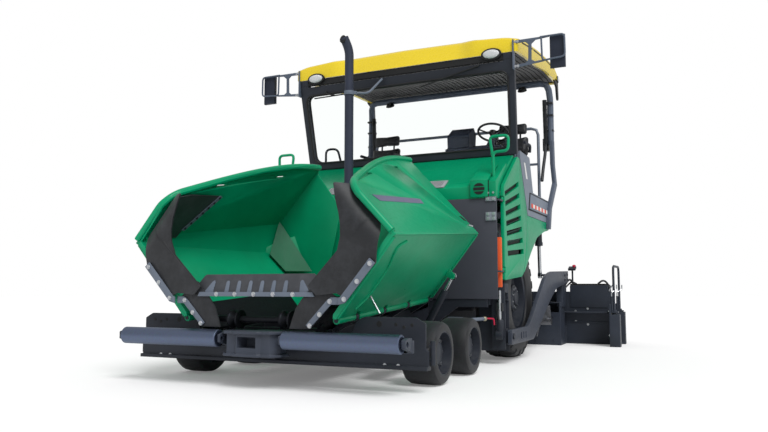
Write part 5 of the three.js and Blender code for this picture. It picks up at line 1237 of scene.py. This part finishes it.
pipe_coat = powder_coat("heat-blued grey pipe coat", "#343A4B", "#2D3240", 0.46, 0.04)
work = bmesh.new()
tube(work, [at(-460, -790, 1500), at(-460, -790, 3395), at(-500, -845, 3530)], 0.0495, 0.09, 32)
exhaust = piece("exhaust_stack", "tractor", "paint_dark_grey", shaped(work, "exhaust_stack"), pipe_coat)
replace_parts(exhaust, "exhaust_pipe")
# Black discs in the pipe's end and in its slash-cut mouth are painted shade inside the pipe.
work = bmesh.new()
tip_way = (at(-500, -845, 3530) - at(-460, -790, 3395)).normalized()
lathe(work, [(0, 0), (0, 0.0455), (0.0012, 0.0455), (0.0012, 0)], at(-500, -845, 3530), tip_way, 32)
mouth_way = Vector((-0.2, -0.93, 0.25)).normalized()
slab(work, [at(-488, -828, 3490) + mouth_way * 0.046 + Vector((0.036 * math.cos(a), 0, 0)) + mouth_way.cross(Vector((1, 0, 0))).normalized() * 0.05 * math.sin(a)
            for a in (2 * math.pi * i / 28 for i in range(28))], mouth_way * 0.006)
piece("exhaust_mouth", "tractor", "paint_dark_grey", shaped(work, "exhaust_mouth"), dark_steel_and_painted_shade)
work = bmesh.new()
lathe(work, [(0, 0.0505), (0, 0.058), (0.045, 0.058), (0.045, 0.0505)], at(-460, -790, 2880), (0, 0, 1), 32)
tube(work, [at(-405, -780, 2902), at(-300, -640, 2920), at(-205, -470, 3120)], 0.013, 0.06, 12)
slab(work, [at(-410, -800, 2885), at(-372, -790, 2885), at(-372, -770, 2885), at(-410, -780, 2885)], (0, 0, 0.035))
piece("exhaust_clamp", "tractor", "paint_dark_grey", shaped(work, "exhaust_clamp", 0.002), strip_coat)


# ---- hydraulic cylinders ----
# The wings and the screed arms move on welded hydraulic cylinders with hard chrome rods. A ring nut closes each
# barrel and crimped hoses join it.
chrome = plain_metal("hard chrome plate", "#DDE1E6", 0.10, 260.0)
for side, k in (("left", 1), ("right", -1)):
    for kind in ("wing", "lift"):
        machined("%s_cylinder_%s" % (kind, side), slate_coat, 0.003)
        machined("%s_rod_%s" % (kind, side), chrome, 0.002)
    top, foot = at(k * 1190, 1080, 1700), at(k * 1190, 1130, 905)
    way = (foot - top).normalized()
    work = bmesh.new()
    lathe(work, [(0.392, 0.025), (0.392, 0.0475), (0.436, 0.0475), (0.440, 0.0245)], top, way, 24)
    lathe(work, [(0.05, 0.041), (0.05, 0.046), (0.062, 0.046), (0.062, 0.041)], top, way, 24)
    for along in (0.10, 0.36):
        port = top + way * along + Vector((0, 0.04, 0))
        tube(work, [port, port + Vector((0, 0.035, 0))], 0.014, 0.01, 12)
    piece("lift_glands_" + side, "lift_cylinder_" + side, "paint_dark_grey", shaped(work, "lift_glands_" + side, 0.002), slate_coat)


# ---- screed arms and their guides ----
# Each arm is a heavy flame-cut steel plate that swings on a pin held by the guide on the frame.
arm_coat = powder_coat("slate grey arm coat", "#3F4552", "#363B46", 0.38, 0.09)
for side, k in (("left", 1), ("right", -1)):
    machined("screed_arm_" + side, arm_coat, 0.006)
    bolts("arm_bolts_" + side, "screed", "paint_dark_grey",
          [(at(k * 1335, y, z), (k, 0, 0)) for y, z in ((1950, 850), (1950, 915), (2120, 862), (2120, 926))], 0.013, slate_coat)
    work = bmesh.new()
    # A hose loop and a valve block hang at the front of the guide.
    tube(work, [at(k * 1230, -812, 560), at(k * 1215, -850, 500), at(k * 1235, -850, 380), at(k * 1250, -812, 330)], 0.011, 0.06, 10)
    tube(work, [at(k * 1215, -812, 540), at(k * 1195, -840, 470), at(k * 1205, -840, 330), at(k * 1225, -812, 250)], 0.009, 0.06, 10)
    slab(work, [at(k * x, -802, z) for x, z in ((1195, 520), (1262, 520), (1262, 600), (1195, 600))], (0, -0.03, 0))
    piece("guide_hoses_" + side, "tractor", "flap_rubber", shaped(work, "guide_hoses_" + side, 0.003), flap_rubber)


# ---- mud plates and side tubes ----
# A flat plate shields each drive wheel at the front, and a short tube that takes a warning rod stands on each side
# of the crossbeam. Both are steel, welded on and painted grey.
for side, k in (("left", 1), ("right", -1)):
    work = bmesh.new()
    slab(work, [at(k * x, -705, z) for x, z in ((985, 128), (1290, 128), (1290, 640), (985, 640))], (0, 0.008, 0))
    slab(work, [at(k * x, -760, 625) for x in (985, 1290)] + [at(k * x, -700, 625) for x in (1290, 985)], (0, 0, 0.008))
    slab(work, [at(k * x, -900, z) for x, z in ((880, 640), (1230, 640), (1230, 655), (880, 655))], (0, 0.20, 0))
    piece("mud_plate_" + side, "tractor", "paint_dark_grey", shaped(work, "mud_plate_" + side, 0.002), slate_coat)
    work = bmesh.new()
    tube(work, [at(k * 1326, -2888, 202), at(k * 1326, -2888, 372)], 0.019, 0.01, 20)
    slab(work, [at(k * x, y, 230) for x, y in ((1300, -2904), (1334, -2904), (1334, -2872), (1300, -2872))], (0, 0, 0.016))
    slab(work, [at(k * x, y, 330) for x, y in ((1300, -2904), (1334, -2904), (1334, -2872), (1300, -2872))], (0, 0, 0.016))
    piece("side_tube_" + side, "tractor", "paint_dark_grey", shaped(work, "side_tube_" + side, 0.002), slate_coat)


# ---- steering link, side bar and valve ----
# A painted link rod with brass ends runs from the bar on the side plate to a stop valve with a red lever.
brass = plain_metal("worn brass", "#BDB49C", 0.30, 90.0)
red_coat = powder_coat("signal red dip coat", "#C21F45", "#B01A3C", 0.40, 0.03)
for side, k in (("left", 1), ("right", -1)):
    a, b = at(k * 1030, -1415, 450), at(k * 1150, -1010, 456)
    way = (b - a).normalized()
    work = bmesh.new()
    lathe(work, [(0, 0), (0, 0.017), (0.33, 0.017), (0.33, 0)], a + way * 0.04, way, 16)
    slab(work, [at(k * 900, y, z) for y, z in ((-1405, 415), (-1345, 415), (-1345, 480), (-1405, 480))], (k * 0.13, 0, 0))
    piece("link_rod_" + side, "tractor", "paint_dark_grey", shaped(work, "link_rod_" + side, 0.002), strip_coat)
    work = bmesh.new()
    for start in (0.012, 0.372):
        lathe(work, [(0, 0), (0, 0.018), (0.012, 0.024), (0.028, 0.024), (0.040, 0.018), (0.040, 0)], a + way * start, way, 12)
    piece("link_ends_" + side, "tractor", "chrome_rod", shaped(work, "link_ends_" + side, 0.002), brass)
    work = bmesh.new()
    tube(work, [b, b + Vector((k * 0.06, 0.04, 0)), b + Vector((k * 0.062, 0.05, -0.06))], 0.008, 0.02, 10)
    piece("stop_lever_" + side, "tractor", "paint_green", shaped(work, "stop_lever_" + side), red_coat)


# ---- screed ----
# The screed is a welded steel box with bolted covers, a rubber-faced walkway over the heaters and two extensions
# that slide out behind it.
screed_coat = powder_coat("slate grey screed coat", "#343A46", "#2B3039", 0.40, 0.12)
machined("screed_body", screed_coat, 0.005)
heads = [(at(x, 1900, z), front) for x in (-1180, -940, -700, -460, -220, 220, 460, 700, 940, 1180) for z in (60, 370)]
bolts("screed_bolts", "screed", "paint_dark_grey", heads, 0.012, screed_coat)
work = bmesh.new()
for x0, x1 in ((-1150, -620), (-600, -60), (60, 600), (620, 1150)):
    slab(work, [at(x, 1950 + dy, 561) for x, dy in ((x0, 0), (x1, 0), (x1, 315), (x0, 315))], (0, 0, 0.006))
    tube(work, [at((x0 + x1) / 2 - 60, 1990, 566), at((x0 + x1) / 2 - 60, 1990, 592), at((x0 + x1) / 2 + 60, 1990, 592), at((x0 + x1) / 2 + 60, 1990, 566)], 0.006, 0.02, 8)
piece("screed_covers", "screed", "paint_dark_grey", shaped(work, "screed_covers", 0.002), screed_coat)
pad_rubber = rubber("black moulded pad rubber", "#141517", "#1D1E21", 0.55)
for side, k in (("left", 1), ("right", -1)):
    body = "extension_" + side
    machined("screed_extension_" + side, screed_coat, 0.005)
    heads = [(at(k * x, 2308, z), front) for x, z in ((1400, 610), (1400, 540), (1440, 505), (1745, 505), (1560, 470), (1560, 260), (1400, 440), (1400, 300), (1840, 440), (1840, 120))]
    bolts("extension_bolts_" + side, body, "paint_dark_grey", heads, 0.011, zinc)
    work = bmesh.new()
    slab(work, [at(k * x, 2318, z) for x, z in ((1335, 784), (1800, 784), (1822, 770), (1822, 786), (1800, 806), (1335, 806))], (0, 0.32, 0))
    slab(work, [at(k * 1340, y, 318) for y in (2675, 2990)] + [at(k * 650, y, 318) for y in (2990, 2675)], (0, 0, 0.006))
    slab(work, [at(k * 1880, y, 318) for y in (2675, 2990)] + [at(k * 1350, y, 318) for y in (2990, 2675)], (0, 0, 0.006))
    piece("extension_pads_" + side, body, "flap_rubber", shaped(work, "extension_pads_" + side, 0.003), pad_rubber)
    work = bmesh.new()
    slab(work, [at(k * x, 2304, z) for x, z in ((1335, 488), (1826, 488), (1826, 696), (1800, 780), (1335, 780))], (0, -0.006, 0))
    slab(work, [at(k * x, 2304, z) for x, z in ((1335, 284), (1884, 284), (1884, 300), (1335, 300))], (0, -0.010, 0))
    # The end plate's own guides, with their height spindles.
    for y in (1960, 2510):
        tube(work, [at(k * 1950, y, 25), at(k * 1950, y, 470)], 0.030, 0.01, 20)
        slab(work, [at(k * x, y - 50, 432) for x in (1905, 2000)] + [at(k * x, y + 50, 432) for x in (2000, 1905)], (0, 0, 0.018))
        tube(work, [at(k * 1925, y - 30, 450), at(k * 1925, y - 30, 560), at(k * 1925, y - 30, 640)], 0.014, 0.01, 14)
    slab(work, [at(k * 1914, y, z) for y, z in ((1910, 26), (2560, 26), (2560, 70), (1910, 70))], (k * 0.02, 0, 0))
    slab(work, [at(k * 1914, y, z) for y, z in ((2040, 120), (2430, 120), (2430, 400), (2040, 400))], (k * 0.012, 0, 0))
    piece("end_plate_parts_" + side, body, "paint_dark_grey", shaped(work, "end_plate_parts_" + side, 0.003), screed_coat)
    work = bmesh.new()
    for y in (1960, 2510):
        spot = at(k * 1925, y - 30, 640)
        tube(work, [spot, spot + Vector((0, 0, 0.05)), spot + Vector((k * 0.06, 0.05, 0.09)), spot + Vector((k * 0.06, 0.05, 0.15))], 0.008, 0.02, 10)
    tube(work, [at(k * 1860, 2360, 480), at(k * 1860, 2360, 660), at(k * 1830, 2330, 700), at(k * 1900, 2290, 790)], 0.009, 0.03, 10)
    piece("screed_cranks_" + side, body, "chrome_rod", shaped(work, "screed_cranks_" + side), zinc)
    work = bmesh.new()
    tube(work, [at(k * 1700, 2340, 804), at(k * 1770, 2350, 860), at(k * 1830, 2380, 800), at(k * 1850, 2400, 660), at(k * 1840, 2420, 480)], 0.013, 0.08, 12)
    tube(work, [at(k * 1360, 2420, 804), at(k * 1320, 2380, 880), at(k * 1250, 2330, 780), at(k * 1240, 2250, 600)], 0.014, 0.08, 12)
    tube(work, [at(k * 1400, 2450, 804), at(k * 1330, 2450, 840), at(k * 1210, 2350, 700), at(k * 1190, 2250, 600)], 0.011, 0.08, 12)
    piece("screed_hoses_" + side, body, "flap_rubber", shaped(work, "screed_hoses_" + side), flap_rubber)
    # The operator's panel stands on a post on the extension, with a red stop button.
    work = bmesh.new()
    tube(work, [at(k * 1345, 2450, 784), at(k * 1345, 2450, 1000)], 0.012, 0.01, 14)
    slab(work, [at(k * x, y, z) for x, y, z in ((1295, 2400, 985), (1395, 2400, 985), (1395, 2490, 1020), (1295, 2490, 1020))], (0, -0.01, 0.03))
    piece("side_panel_" + side, body, "paint_dark_grey", shaped(work, "side_panel_" + side, 0.006), slate_coat)
    work = bmesh.new()
    lathe(work, [(0, 0), (0, 0.012), (0.018, 0.012), (0.022, 0.024), (0.036, 0.022), (0.038, 0)], at(k * 1372, 2440, 1028), (0, -0.35, 0.93), 20)
    piece("stop_button_" + side, body, "paint_green", shaped(work, "stop_button_" + side), red_coat)
